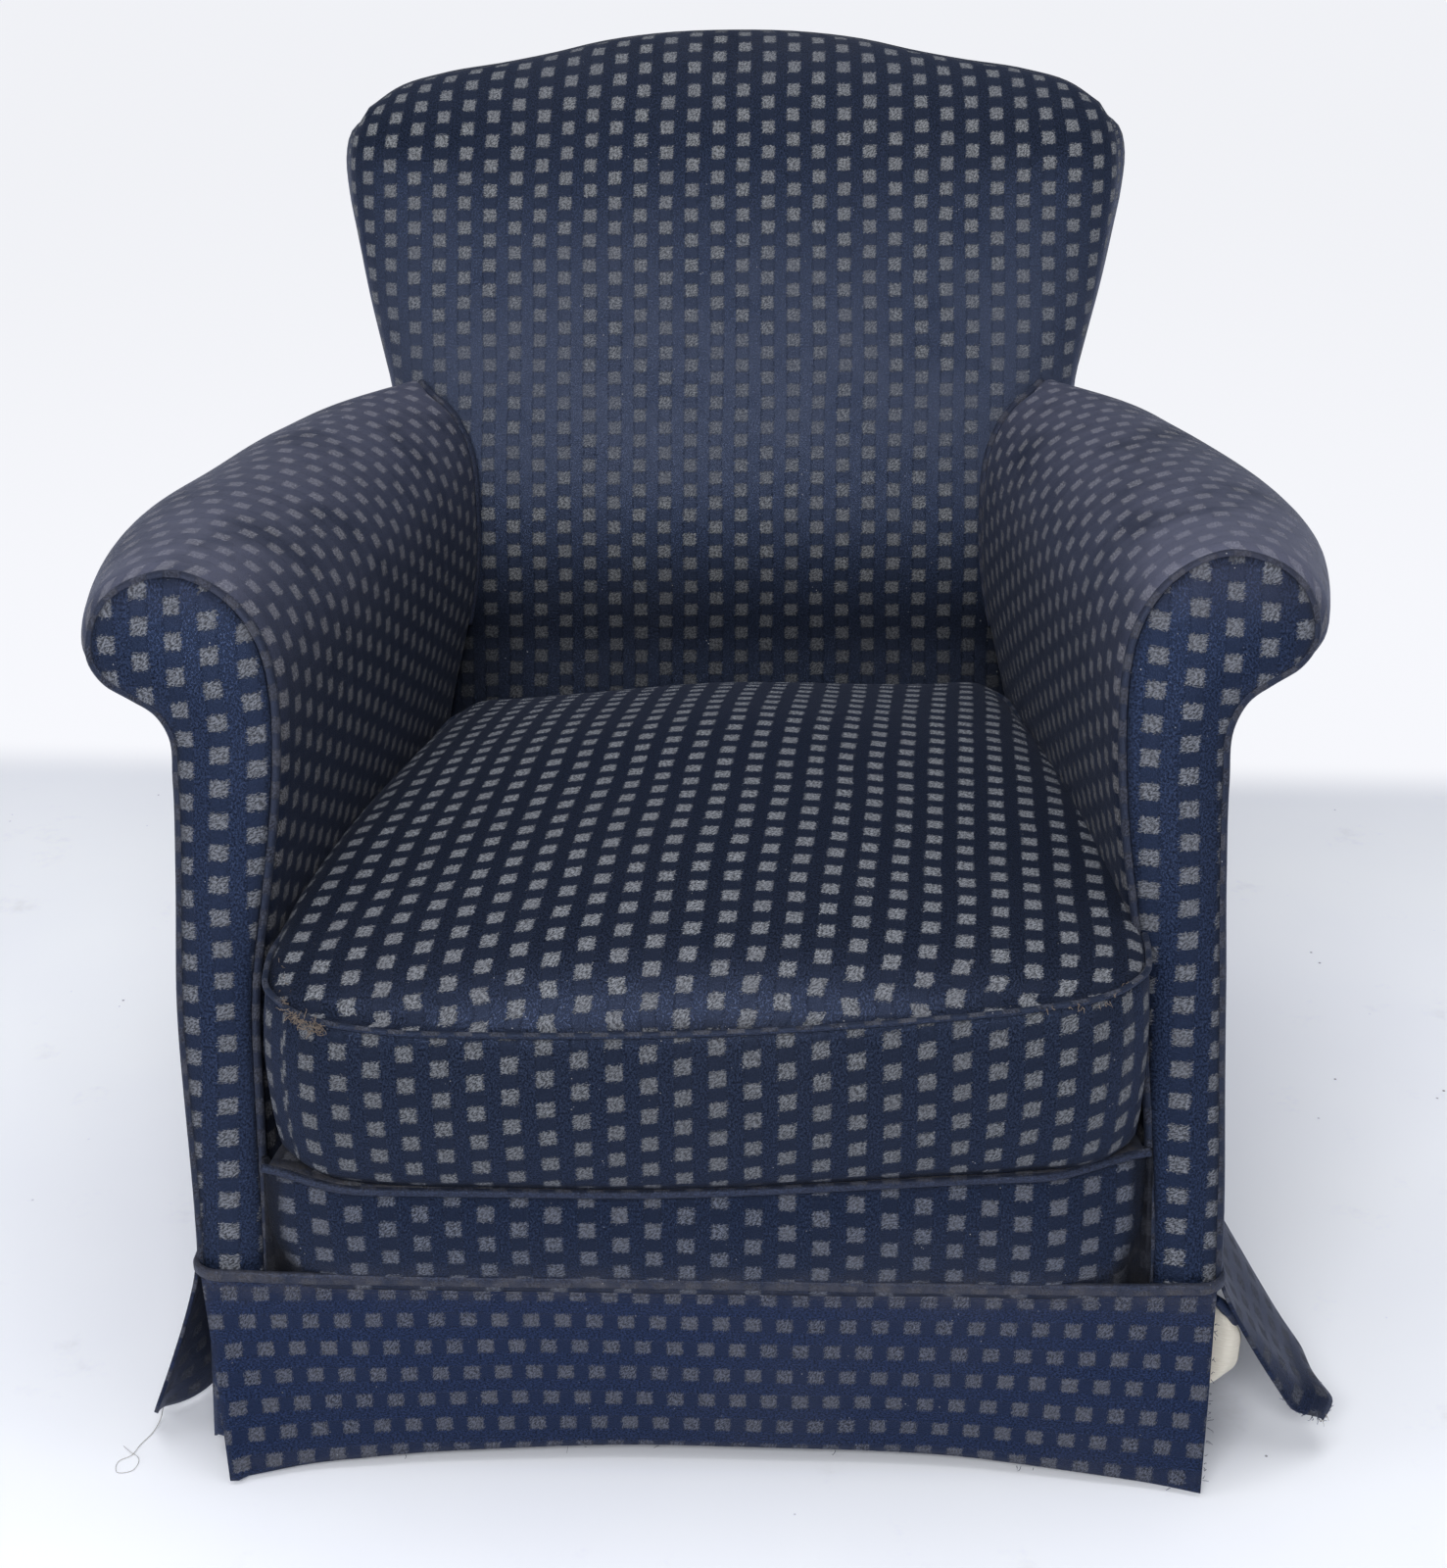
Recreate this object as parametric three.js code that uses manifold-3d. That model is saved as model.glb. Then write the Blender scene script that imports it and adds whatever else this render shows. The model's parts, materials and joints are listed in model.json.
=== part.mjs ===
// A low upholstered armchair: scroll arms, camel-back crest, loose seat cushion and kick-pleat skirt.
// Millimetres, +Z up. The chair faces -Y, and while it is built y = 0 is the front of its base.
import * as THREE from 'three';
import { mergeVertices } from 'three/addons/utils/BufferGeometryUtils.js';
import Module from 'manifold-3d';

const wasm = await Module();
wasm.setup();

// ---------------------------------------------------------------- driving dimensions
const GAP = 0.3;                    // clearance between pieces that touch
const CLOTH = 3;                    // cloth with its lining
const WELT_RADIUS = 3.3;
const WELT_ROOM = 2 * (WELT_RADIUS + GAP);
const POCKET = 1.4;                 // clearance round wood inside the padding

const BASE_HALF_WIDTH = 331;
const BASE_DEPTH = 700;
const REAR_TAPER = 0.094;           // share of the width lost from the front to the rear
const RAIL = { bottom: 100, top: 200, thick: 28, outside: 320, front: 27, rear: 694 };
const FOOT = { width: 46, foot: 38, inset: 28 };
const SKIRT_TOP = 150;
const SKIRT_DROP = 141;
const FRONT_RAKE = THREE.MathUtils.degToRad(17);    // the arm fronts lean back
const BACK_RAKE = THREE.MathUtils.degToRad(22);     // slope of the inside back
const SEAT_TILT = 0.033;            // the worn seat hangs lower on the left

const DECK = { bottom: 214, top: 233, front: 28, rear: 598, halfWidth: 276 };
const BORDER = { front: -6, bottom: 153.7, top: 225.6, halfWidth: 275, bulge: 6 };
const CUSHION = { bottom: 236.6, seam: 346, crown: 57, front: -9, corner: 62, halfFront: 262, halfRear: 213 };

const BACK = { level: 400, y: 545, halfWidth: 285, bottom: 246, crest: 850, rearY: 700, rearLean: 0.143 };
const POST = { inner: 250, outer: 278, top: 765, frontY: 600, lean: 0.25, railThick: 30 };
const PAD_RIM = { round: 26, share: 0.35 };

const SCROLL = { x: 321, z: 528, rx: 62, rz: 58, reach: 388 };
const ARM = { inner: 259, outer: 331, seatInner: 281, bottom: 246, hidden: 299, neck: 478 };
const ARM_RAIL = { x: [300, 334], z: [505, 545] };
const FACING = { thick: 10, inset: 10 };
const ARM_SAG = { x: 4, z: 6 };     // the left arm has dropped outwards, the right one has not

// ---------------------------------------------------------------- materials
const finish = (color, roughness, metalness = 0) => ({ color, roughness, metalness });
const NAVY = finish('#28304a', 0.7);
const NAVY_WELT = finish('#2b3350', 0.75);
const WOOD = finish('#b58a5a', 0.8);
const STEEL = finish('#6d6f73', 0.45, 1);
const JUTE = finish('#9a8158', 0.95);
const CALICO = finish('#d9d0bc', 0.9);

const chair = new THREE.Group();

function add(name, geometry, look) {
  const mesh = new THREE.Mesh(geometry, new THREE.MeshStandardMaterial(look));
  mesh.name = name;
  chair.add(mesh);
}

// ---------------------------------------------------------------- geometry helpers
const { lerp, smoothstep, clamp } = THREE.MathUtils;
const sideName = (side) => (side > 0 ? 'right' : 'left');

function signedVolume(geometry) {
  const at = geometry.attributes.position;
  const [a, b, c] = [new THREE.Vector3(), new THREE.Vector3(), new THREE.Vector3()];
  let volume = 0;
  for (let i = 0; i < geometry.index.count; i += 3) {
    a.fromBufferAttribute(at, geometry.index.getX(i));
    b.fromBufferAttribute(at, geometry.index.getX(i + 1));
    c.fromBufferAttribute(at, geometry.index.getX(i + 2));
    volume += a.dot(b.cross(c)) / 6;
  }
  return volume;
}

// One closed form with shared vertices and its faces pointing out.
function closed(source) {
  const bare = source.clone();
  bare.deleteAttribute('normal');
  bare.deleteAttribute('uv');
  const geometry = mergeVertices(bare, 1e-4);
  if (signedVolume(geometry) < 0) {
    const turned = Array.from(geometry.index.array).reverse();
    geometry.setIndex(turned);
  }
  geometry.computeVertexNormals();
  return geometry;
}

// Moves every vertex with place(point), which changes the point it is given.
function shaped(source, place) {
  const geometry = source.clone();
  const at = geometry.attributes.position;
  const point = new THREE.Vector3();
  for (let i = 0; i < at.count; i += 1) {
    point.fromBufferAttribute(at, i);
    place(point);
    at.setXYZ(i, point.x, point.y, point.z);
  }
  return closed(geometry);
}

// A box between pairs of bounds, grown on every side by grow.
function bar(x, y, z, cuts = [1, 1, 1], grow = 0) {
  const size = [x, y, z].map(([low, high]) => high - low + 2 * grow);
  const middle = [x, y, z].map(([low, high]) => (low + high) / 2);
  return new THREE.BoxGeometry(...size, ...cuts).translate(...middle);
}

// An outline drawn in x and z, carried along +Y from start to end.
function prism(shape, start, end, steps = 1, curveSegments = 6) {
  const depth = end - start;
  const form = new THREE.ExtrudeGeometry(shape, { depth, steps, curveSegments, bevelEnabled: false });
  return form.rotateX(Math.PI / 2).translate(0, end, 0);
}

function manifoldOf(geometry) {
  const solid = closed(geometry);
  const vertProperties = Float32Array.from(solid.attributes.position.array);
  const triVerts = Uint32Array.from(solid.index.array);
  return new wasm.Manifold(new wasm.Mesh({ numProp: 3, vertProperties, triVerts }));
}

function carved(geometry, ...tools) {
  const left = tools.reduce((solid, tool) => solid.subtract(manifoldOf(tool)), manifoldOf(geometry));
  const mesh = left.getMesh();
  const result = new THREE.BufferGeometry();
  result.setAttribute('position', new THREE.BufferAttribute(Float32Array.from(mesh.vertProperties), 3));
  result.setIndex(new THREE.BufferAttribute(Uint32Array.from(mesh.triVerts), 1));
  return closed(result);
}

// A round cord along the points.
function cord(points, steps, radius = WELT_RADIUS, sides = 3) {
  const section = new THREE.Shape();
  section.absarc(0, 0, radius, 0, Math.PI * 2);
  const extrudePath = new THREE.CatmullRomCurve3(points, false, 'centripetal');
  return closed(new THREE.ExtrudeGeometry(section, { steps, extrudePath, curveSegments: sides }));
}

// ---------------------------------------------------------------- shared surfaces
const taper = (y) => 1 - (REAR_TAPER * y) / BASE_DEPTH;
const frontPlane = (z) => Math.max(0, z - SKIRT_TOP) * Math.tan(FRONT_RAKE);
const backFront = (z) => BACK.y + (z - BACK.level) * Math.tan(BACK_RAKE);
const backRear = (z) => BACK.rearY + (z - RAIL.bottom) * BACK.rearLean;
const postFront = (z) => POST.frontY + (z - RAIL.top) * POST.lean;

function narrow(point) {
  point.x *= taper(point.y);
}

function seatSag(point) {
  point.z += SEAT_TILT * point.x * smoothstep(point.z, SKIRT_TOP, DECK.bottom);
}

// ---------------------------------------------------------------- wooden seat frame
function seatFrame() {
  const { bottom, top, thick, outside, front, rear } = RAIL;
  const inside = outside - thick;
  const height = [bottom, top];
  const between = [-(inside - GAP), inside - GAP];
  add('front_rail', shaped(bar(between, [front, front + thick], height), narrow), WOOD);
  add('rear_rail', shaped(bar(between, [rear - thick, rear], height), narrow), WOOD);
  for (const side of [-1, 1]) {
    const rail = bar([inside, outside], [front, rear], height);
    add(`side_rail_${sideName(side)}`, shaped(rail, (p) => {
      narrow(p);
      p.x *= side;
    }), WOOD);
  }
}

// Triangular blocks glued into the corners of the seat frame.
function cornerBlocks() {
  const leg = 70;
  const ends = { front: RAIL.front + RAIL.thick + GAP, rear: RAIL.rear - RAIL.thick - GAP };
  for (const [end, y] of Object.entries(ends)) {
    const inward = end === 'front' ? 1 : -1;
    for (const side of [-1, 1]) {
      const x = RAIL.outside - RAIL.thick - GAP;
      const block = new THREE.Shape();
      block.moveTo(x, y);
      block.lineTo(x - leg, y);
      block.lineTo(x, y + inward * leg);
      const form = new THREE.ExtrudeGeometry(block, { depth: 40, bevelEnabled: false });
      add(`corner_block_${end}_${sideName(side)}`, shaped(form.translate(0, 0, 130), (p) => {
        narrow(p);
        p.x *= side;
      }), WOOD);
    }
  }
}

// Square feet, narrower at the floor.
function feet() {
  const half = FOOT.width / 2;
  const centres = { front: RAIL.front + FOOT.inset, rear: RAIL.rear - FOOT.inset };
  for (const [end, y] of Object.entries(centres)) {
    for (const side of [-1, 1]) {
      const x = side * (RAIL.outside - FOOT.inset) * taper(y);
      const foot = bar([-half, half], [-half, half], [0, RAIL.bottom - GAP]);
      add(`foot_${end}_${sideName(side)}`, shaped(foot, (p) => {
        const share = p.z > 1 ? 1 : FOOT.foot / FOOT.width;
        p.set(x + p.x * share, y + p.y * share, p.z);
      }), WOOD);
    }
  }
}

// ---------------------------------------------------------------- wooden back frame
function postBar(x, z, thickness, grow = 0) {
  const unit = bar(x, [0, 1], z, [1, 1, 1]);
  return shaped(unit, (p) => {
    const rear = thickness ? postFront(p.z) + thickness : backRear(p.z) - CLOTH - 2 * GAP;
    p.y = p.y > 0.5 ? rear + grow : postFront(p.z) - grow;
  });
}

function backFrame() {
  const { inner, outer, top, railThick } = POST;
  add('back_post_right', postBar([inner, outer], [RAIL.top + GAP, top]), WOOD);
  add('back_post_left', postBar([-outer, -inner], [RAIL.top + GAP, top]), WOOD);
  const between = [-(inner - GAP), inner - GAP];
  add('crest_rail', postBar(between, [690, top], railThick), WOOD);
  add('back_lower_rail', postBar(between, [BACK.bottom, 290], railThick), WOOD);
}

// Webbing straps nailed across the front of the back posts.
function backStraps() {
  const levels = { lower: 370, middle: 470, upper: 590 };
  for (const [name, z] of Object.entries(levels)) {
    const strap = bar([-(POST.outer - 1), POST.outer - 1], [0, 1], [z - 25, z + 25]);
    add(`back_strap_${name}`, shaped(strap, (p) => {
      p.y = postFront(p.z) - GAP - (p.y > 0.5 ? 0 : CLOTH);
    }), JUTE);
  }
}

// ---------------------------------------------------------------- seat springs
function seatSprings() {
  const wire = 2;
  const turns = 9;
  const swing = 21;
  const dip = 14;
  const start = RAIL.front + 8;
  const end = RAIL.rear - 8;
  const level = RAIL.top + GAP + wire;
  [-180, -60, 60, 180].forEach((x, i) => {
    const points = [];
    for (let k = 0; k <= 4 * turns; k += 1) {
      const share = k / (4 * turns);
      const away = Math.sin((k * Math.PI) / 2) * swing;
      const low = smoothstep(share, 0.08, 0.5) * smoothstep(1 - share, 0.08, 0.5) * dip;
      points.push(new THREE.Vector3(x + away, lerp(start, end, share), level - low));
    }
    add(`seat_spring_${i + 1}`, shaped(cord(points, 56, wire), narrow), STEEL);
  });
}

// ---------------------------------------------------------------- arms
// Inner edge, over the scroll, and down the outer edge, all drawn inset from the cover's outline.
function armEdge(path, inset, low) {
  const { x, z, rx, rz } = SCROLL;
  const inner = ARM.inner + inset;
  const seat = ARM.seatInner + inset;
  const outer = ARM.outer - inset;
  path.moveTo(seat, low);
  path.lineTo(seat, 262);
  path.bezierCurveTo(seat, 340, inner, 385, inner, 470);
  path.lineTo(inner, z);
  path.absellipse(x, z, rx - inset, rz - inset, Math.PI, 0, true);
  path.bezierCurveTo(x + rx - inset, 508 + inset / 2, outer + 4, 506 + inset, outer, ARM.neck + inset / 2);
  return path;
}

// How far the arm lies inside its front outline, at a share v of the way to the back.
function armShift(x, z, v) {
  const across = clamp((x - ARM.inner) / (SCROLL.reach - ARM.inner), 0, 1);
  const inner = lerp(48, 55, smoothstep(z, 300, 430)) * v ** 1.2;
  const panel = BASE_HALF_WIDTH * REAR_TAPER * v;
  const scroll = 88 * v ** 4 - 45 * v * (1 - v);
  const outer = lerp(panel, scroll, smoothstep(z, 488, 522));
  return lerp(inner, outer, across);
}

// Share of the way from the arm's front to the inside back.
function alongArm(y, z) {
  return Math.max(0, (y - frontPlane(z)) / (backFront(z) - frontPlane(z)));
}

// How far the loosened scroll has moved, as a share of ARM_SAG.
const looseness = (z, v) => smoothstep(z, 430, 530) * Math.max(0, 1 - v);

// Bends a piece drawn with y from 0 to 1 into the arm, between two surfaces y(z).
function intoArm(side, start, end, shift = armShift) {
  return (p) => {
    const v = alongArm(lerp(start(p.z), end(p.z), p.y), p.z);
    const loose = side * looseness(p.z, v);
    const x = p.x - shift(p.x, p.z, v) - ARM_SAG.x * loose;
    const z = p.z + ARM_SAG.z * loose;
    p.set(side * x, lerp(start(z), end(z), p.y), z);
  };
}

const padFront = (z) => frontPlane(z) + FACING.thick + GAP;
const padRear = (z) => backFront(z) - WELT_ROOM - GAP;

function armRail(side, grow) {
  const unit = bar(ARM_RAIL.x, [0, 1], ARM_RAIL.z, [1, 10, 1]);
  const middle = [(ARM_RAIL.x[0] + ARM_RAIL.x[1]) / 2, (ARM_RAIL.z[0] + ARM_RAIL.z[1]) / 2];
  const wider = shaped(unit, (p) => {
    p.x += Math.sign(p.x - middle[0]) * grow;
    p.z += Math.sign(p.z - middle[1]) * grow;
  });
  const start = (z) => padFront(z) + GAP - 10 * grow;
  const end = (z) => postFront(z) - GAP - CLOTH + 10 * grow;
  const shift = (x, z, v) => armShift(middle[0], SCROLL.z, v);
  return shaped(wider, intoArm(side, start, end, shift));
}

function frontPost(side, grow) {
  const unit = bar([286 - grow, 316 + grow], [0, 1], [RAIL.top + GAP, ARM_RAIL.z[0] - GAP + grow]);
  const start = (z) => padFront(z) + GAP - 10 * grow;
  const end = (z) => padFront(z) + POST.railThick + grow;
  return shaped(unit, intoArm(side, start, end, () => 0));
}

function tackRail(side, grow) {
  const rail = bar([292, 312], [85, 600], [BACK.bottom, 280], [1, 1, 1], grow);
  return shaped(rail, (p) => {
    narrow(p);
    p.x *= side;
  });
}

function armPad(side) {
  const outline = armEdge(new THREE.Shape(), 0, ARM.bottom);
  outline.lineTo(ARM.hidden, ARM.neck);
  outline.lineTo(ARM.hidden, ARM.bottom);
  const pad = shaped(prism(outline, 0, 1, 7, 5), intoArm(side, padFront, padRear));
  return carved(pad, armRail(side, POCKET), frontPost(side, POCKET), tackRail(side, POCKET));
}

function armFacing(side) {
  const { inset, thick } = FACING;
  const low = SKIRT_TOP + WELT_RADIUS + 2 * GAP;
  const outline = armEdge(new THREE.Shape(), inset, low);
  outline.lineTo(ARM.outer - inset, low);
  const unit = prism(outline, 0, 1, 1, 6);
  return shaped(unit, intoArm(side, frontPlane, (z) => frontPlane(z) + thick));
}

function outlinePoints(path, divisions, spacing) {
  const line = new THREE.CurvePath();
  path.curves.forEach((curve) => line.add(curve));
  const count = Math.round(line.getLength() / spacing);
  return line.getSpacedPoints(count * divisions);
}

function facingWelt(side) {
  const inset = WELT_RADIUS + GAP;
  const low = SKIRT_TOP + WELT_RADIUS + 4 * GAP;
  const edge = armEdge(new THREE.Path(), inset, low);
  edge.lineTo(ARM.outer - inset, low);
  const place = intoArm(side, (z) => frontPlane(z) + 6, (z) => frontPlane(z) + 6);
  const points = outlinePoints(edge, 1, 22).map((q) => {
    const point = new THREE.Vector3(q.x, 0, q.y);
    place(point);
    return point;
  });
  return cord(points, 44);
}

// The welt in the join between the arm and the inside back.
function armBackWelt(side) {
  const inset = WELT_RADIUS + GAP;
  const edge = armEdge(new THREE.Path(), inset, 400);
  const atBack = (z) => backFront(z) - WELT_ROOM / 2 - GAP;
  const place = intoArm(side, atBack, atBack);
  const points = outlinePoints(edge, 1, 20)
    .filter((q) => q.y > 405 && (q.x < SCROLL.x || q.y > SCROLL.z + 5))
    .map((q) => {
      const point = new THREE.Vector3(q.x, 0, q.y);
      place(point);
      return point;
    });
  return cord(points, 16);
}

function outsideArm(side) {
  const low = SKIRT_TOP + WELT_RADIUS + 2 * GAP;
  const unit = bar([ARM.outer - CLOTH, ARM.outer], [0, 1], [low, ARM.neck - GAP], [1, 3, 3]);
  return shaped(unit, (p) => {
    const reach = (z) => lerp(padFront(z), backRear(z) - CLOTH - 2 * GAP, p.y);
    p.z += side * ARM_SAG.z * looseness(p.z, alongArm(reach(p.z), p.z));
    p.y = reach(p.z);
    narrow(p);
    p.x *= side;
  });
}

function arms() {
  for (const side of [-1, 1]) {
    const name = sideName(side);
    add(`front_post_${name}`, frontPost(side, 0), WOOD);
    add(`arm_rail_${name}`, armRail(side, 0), WOOD);
    add(`arm_tack_rail_${name}`, tackRail(side, 0), WOOD);
    add(`arm_pad_${name}`, armPad(side), NAVY);
    add(`arm_facing_${name}`, armFacing(side), NAVY);
    add(`arm_facing_welt_${name}`, facingWelt(side), NAVY_WELT);
    add(`arm_back_welt_${name}`, armBackWelt(side), NAVY_WELT);
    add(`outside_arm_${name}`, outsideArm(side), NAVY);
  }
}

// ---------------------------------------------------------------- back
// Half of the camel-back outline, from the bottom corner to the middle of the crest.
const CREST_CURVES = [
  [286, 600, 322, 660, 325, 735],
  [327, 785, 305, 808, 270, 812],
  [225, 817, 190, 820, 160, 829],
  [115, 842, 60, 850, 0, BACK.crest],
];

function backOutline(shape, low, inset = 0) {
  const shrink = (x, z) => [x * (1 - inset / 325), z - Math.max(0, inset * ((z - 600) / 250))];
  const curve = (numbers, mirror) => {
    const pairs = [0, 2, 4].map((i) => shrink(mirror * numbers[i], numbers[i + 1]));
    shape.bezierCurveTo(...pairs.flat());
  };
  shape.moveTo(...shrink(BACK.halfWidth, low));
  shape.lineTo(...shrink(BACK.halfWidth, 560));
  CREST_CURVES.forEach((numbers) => curve(numbers, 1));
  const ends = [[BACK.halfWidth, 560], ...CREST_CURVES.map((numbers) => numbers.slice(4))];
  for (let i = CREST_CURVES.length - 1; i >= 0; i -= 1) {
    const [ax, az, bx, bz] = CREST_CURVES[i];
    curve([bx, bz, ax, az, ...ends[i]], -1);
  }
  shape.lineTo(...shrink(-BACK.halfWidth, low));
  return shape;
}

function backPad() {
  const { round, share } = PAD_RIM;
  const steps = 8;
  const unit = prism(backOutline(new THREE.Shape(), BACK.bottom), 0, 1, steps, 5);
  const pad = shaped(unit, (p) => {
    const rest = clamp(1 - p.y / share, 0, 1);
    const pull = round * rest ** 2;
    const y = lerp(backFront(p.z), backRear(p.z) - CLOTH - GAP, p.y);
    const high = clamp((p.z - 600) / 250, 0, 1);
    p.set(p.x * (1 - pull / 325), y, p.z - pull * high);
  });
  const pocket = bar([-(POST.outer + 0.4), POST.outer + 0.4], [0, 1], [BACK.bottom - 9, POST.top + 0.6]);
  const room = shaped(pocket, (p) => {
    p.y = p.y > 0.5 ? backRear(p.z) + 20 : postFront(p.z) - CLOTH - 2 * GAP;
  });
  const rails = [-1, 1].flatMap((side) => [armRail(side, POCKET), tackRail(side, POCKET)]);
  return carved(pad, room, ...rails);
}

function outsideBack() {
  const low = SKIRT_TOP + WELT_RADIUS + 2 * GAP;
  const unit = prism(backOutline(new THREE.Shape(), low, WELT_ROOM + 1), 0, 1, 1, 5);
  return shaped(unit, (p) => {
    p.y = backRear(p.z) - (p.y > 0.5 ? 0 : CLOTH);
  });
}

// The welt round the edge of the outside back.
function backWelt() {
  const outline = backOutline(new THREE.Path(), SKIRT_TOP + WELT_ROOM, WELT_RADIUS);
  const points = outlinePoints(outline, 1, 26).map((q) => {
    const y = backRear(q.y) + WELT_RADIUS - CLOTH + 2 * GAP;
    return new THREE.Vector3(q.x, y, q.y);
  });
  return cord(points, 56);
}

// ---------------------------------------------------------------- seat upholstery
function seatDeck() {
  const { halfWidth, front, rear, bottom, top } = DECK;
  return shaped(bar([-halfWidth, halfWidth], [front, rear], [bottom, top], [6, 4, 1]), (p) => {
    seatSag(p);
    narrow(p);
  });
}

function frontBorder() {
  const { halfWidth, front, bottom, top, bulge } = BORDER;
  const rear = RAIL.front - GAP;
  const panel = bar([-halfWidth, halfWidth], [front, rear], [bottom, top], [10, 1, 3]);
  return shaped(panel, (p) => {
    const high = (2 * (p.z - bottom)) / (top - bottom) - 1;
    if (p.y < 0) {
      p.y -= bulge * (1 - high ** 2);
      p.y += 8 * Math.abs(p.x / halfWidth) ** 6;
    }
    seatSag(p);
  });
}

// Half width of the cushion at a share of its depth, with rounded corners in plan.
function cushionHalfWidth(share, z) {
  const { corner, halfFront, halfRear, seam, bottom } = CUSHION;
  const middle = (seam + bottom) / 2;
  const swell = 7 * clamp(1 - ((z - middle) / (seam - middle)) ** 2, 0, 1);
  const depth = 540;
  const intoFront = clamp(1 - (share * depth) / corner, 0, 1);
  const intoRear = clamp(1 - ((1 - share) * depth) / (corner / 2), 0, 1);
  const trim = corner * (1 - Math.sqrt(1 - intoFront ** 2 * 0.98));
  const trimRear = (corner / 2) * (1 - Math.sqrt(1 - intoRear ** 2 * 0.98));
  return lerp(halfFront, halfRear, share) + swell - trim - trimRear;
}

const cushionRear = (z) => backFront(z - SEAT_TILT * CUSHION.halfRear) - WELT_ROOM - 5;

function seatCushion() {
  const { bottom, seam, crown, front } = CUSHION;
  const block = bar([-1, 1], [0, 1], [bottom, seam], [12, 14, 3]);
  return shaped(block, (p) => {
    const share = (1 - Math.cos(Math.PI * p.y)) / 2;
    const across = Math.sin((p.x * Math.PI) / 2) * 0.35 + p.x * 0.65;
    const level = p.z;
    const swell = 4 * clamp(1 - Math.abs(level - 291) / 55, 0, 1);
    if (level > seam - 1) {
      const wide = 1 - Math.abs(across) ** 2.4;
      const long = 1 - Math.abs(2 * share - 1) ** 2.6;
      p.z += crown * wide * long;
    }
    p.y = lerp(front - swell, cushionRear(level), share);
    p.x = across * cushionHalfWidth(share, level);
    seatSag(p);
  });
}

// Right half of the cushion's outline in plan, from the middle of the rear to the middle of the front.
function cushionOutline(level) {
  const rear = cushionRear(level);
  const { front } = CUSHION;
  const shares = [1, 0.985, 0.95, 0.8, 0.6, 0.4, 0.25, 0.12, 0.075, 0.04, 0.015, 0];
  const side = shares.map((share) => {
    return new THREE.Vector2(cushionHalfWidth(share, level), lerp(front, rear, share));
  });
  return [new THREE.Vector2(0, rear), new THREE.Vector2(110, rear), ...side,
    new THREE.Vector2(110, front), new THREE.Vector2(0, front)];
}

// A loop round the cushion at one level, joined at the middle of its rear edge.
function cushionWelt(level) {
  const off = WELT_RADIUS + 3;
  const half = cushionOutline(level);
  const outside = half.map((q, i) => {
    const before = half[Math.max(0, i - 1)];
    const after = half[Math.min(half.length - 1, i + 1)];
    const along = after.clone().sub(before).normalize();
    return new THREE.Vector3(q.x - along.y * off, q.y + along.x * off, level);
  });
  outside[0].x = 1;
  outside.at(-1).x = 0;
  const other = outside.slice(0, -1).map((p) => new THREE.Vector3(-p.x, p.y, p.z));
  const points = [...outside, ...other.reverse()];
  points.forEach(seatSag);
  return cord(points, 60);
}

function platformWelt() {
  const level = (BORDER.top + DECK.top) / 2 + GAP;
  const points = [-272, -262, -200, -100, 0, 100, 200, 262, 272].map((x) => {
    const back = 8 * Math.abs(x / BORDER.halfWidth) ** 6;
    return new THREE.Vector3(x, BORDER.front + back, level);
  });
  points.forEach(seatSag);
  return cord(points, 16);
}

function seatUpholstery() {
  add('seat_deck', seatDeck(), NAVY);
  add('front_border', frontBorder(), NAVY);
  add('platform_welt', platformWelt(), NAVY_WELT);
  add('seat_cushion', seatCushion(), NAVY);
  add('cushion_welt_top', cushionWelt(CUSHION.seam + 1), NAVY_WELT);
  add('cushion_welt_bottom', cushionWelt(CUSHION.bottom + WELT_RADIUS), NAVY_WELT);
}

// ---------------------------------------------------------------- skirt
// The side panels have swung out at the front corners: share of the drop against distance from the front.
const FLARE = {
  right: { edge: 62, rest: 15, reach: 260, forward: 16 },
  left: { edge: 38, rest: 12, reach: 45, forward: 6 },
};

function hang(drop, out) {
  return SKIRT_TOP - WELT_RADIUS - 2 * GAP - drop * Math.sqrt(SKIRT_DROP ** 2 - out ** 2);
}

function skirtSide(side) {
  const { edge, rest, reach, forward } = FLARE[sideName(side)];
  const panel = bar([BASE_HALF_WIDTH - 2, BASE_HALF_WIDTH + 1], [2, BASE_DEPTH - 6], [0, 1], [1, 14, 4]);
  return shaped(panel, (p) => {
    const drop = 1 - p.z;
    const out = rest + edge * Math.exp(-((p.y / reach) ** 2));
    const near = Math.exp(-((p.y / 60) ** 2));
    narrow(p);
    p.x = side * (p.x + out * drop ** 1.15);
    p.y += forward * near * drop;
    p.z = hang(drop, out);
  });
}

function skirtFront() {
  const half = BASE_HALF_WIDTH - 6;
  const panel = bar([-half, half], [-5, -2], [0, 1], [12, 1, 4]);
  return shaped(panel, (p) => {
    const drop = 1 - p.z;
    const corner = Math.abs(p.x / half) ** 2.4;
    const out = 28 * corner - 3;
    p.x *= 1 - 0.018 * drop;
    p.y -= out * drop;
    p.z = hang(drop, out) + 5 * drop * (1 - corner);
  });
}

function skirtBack() {
  const half = BASE_HALF_WIDTH * taper(BASE_DEPTH) - 5;
  const panel = bar([-half, half], [BASE_DEPTH + 6, BASE_DEPTH + 9], [0, 1], [8, 1, 3]);
  return shaped(panel, (p) => {
    const drop = 1 - p.z;
    const out = 8 + 6 * Math.abs(p.x / half) ** 2;
    p.y += out * drop;
    p.z = hang(drop, out);
  });
}

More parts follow.
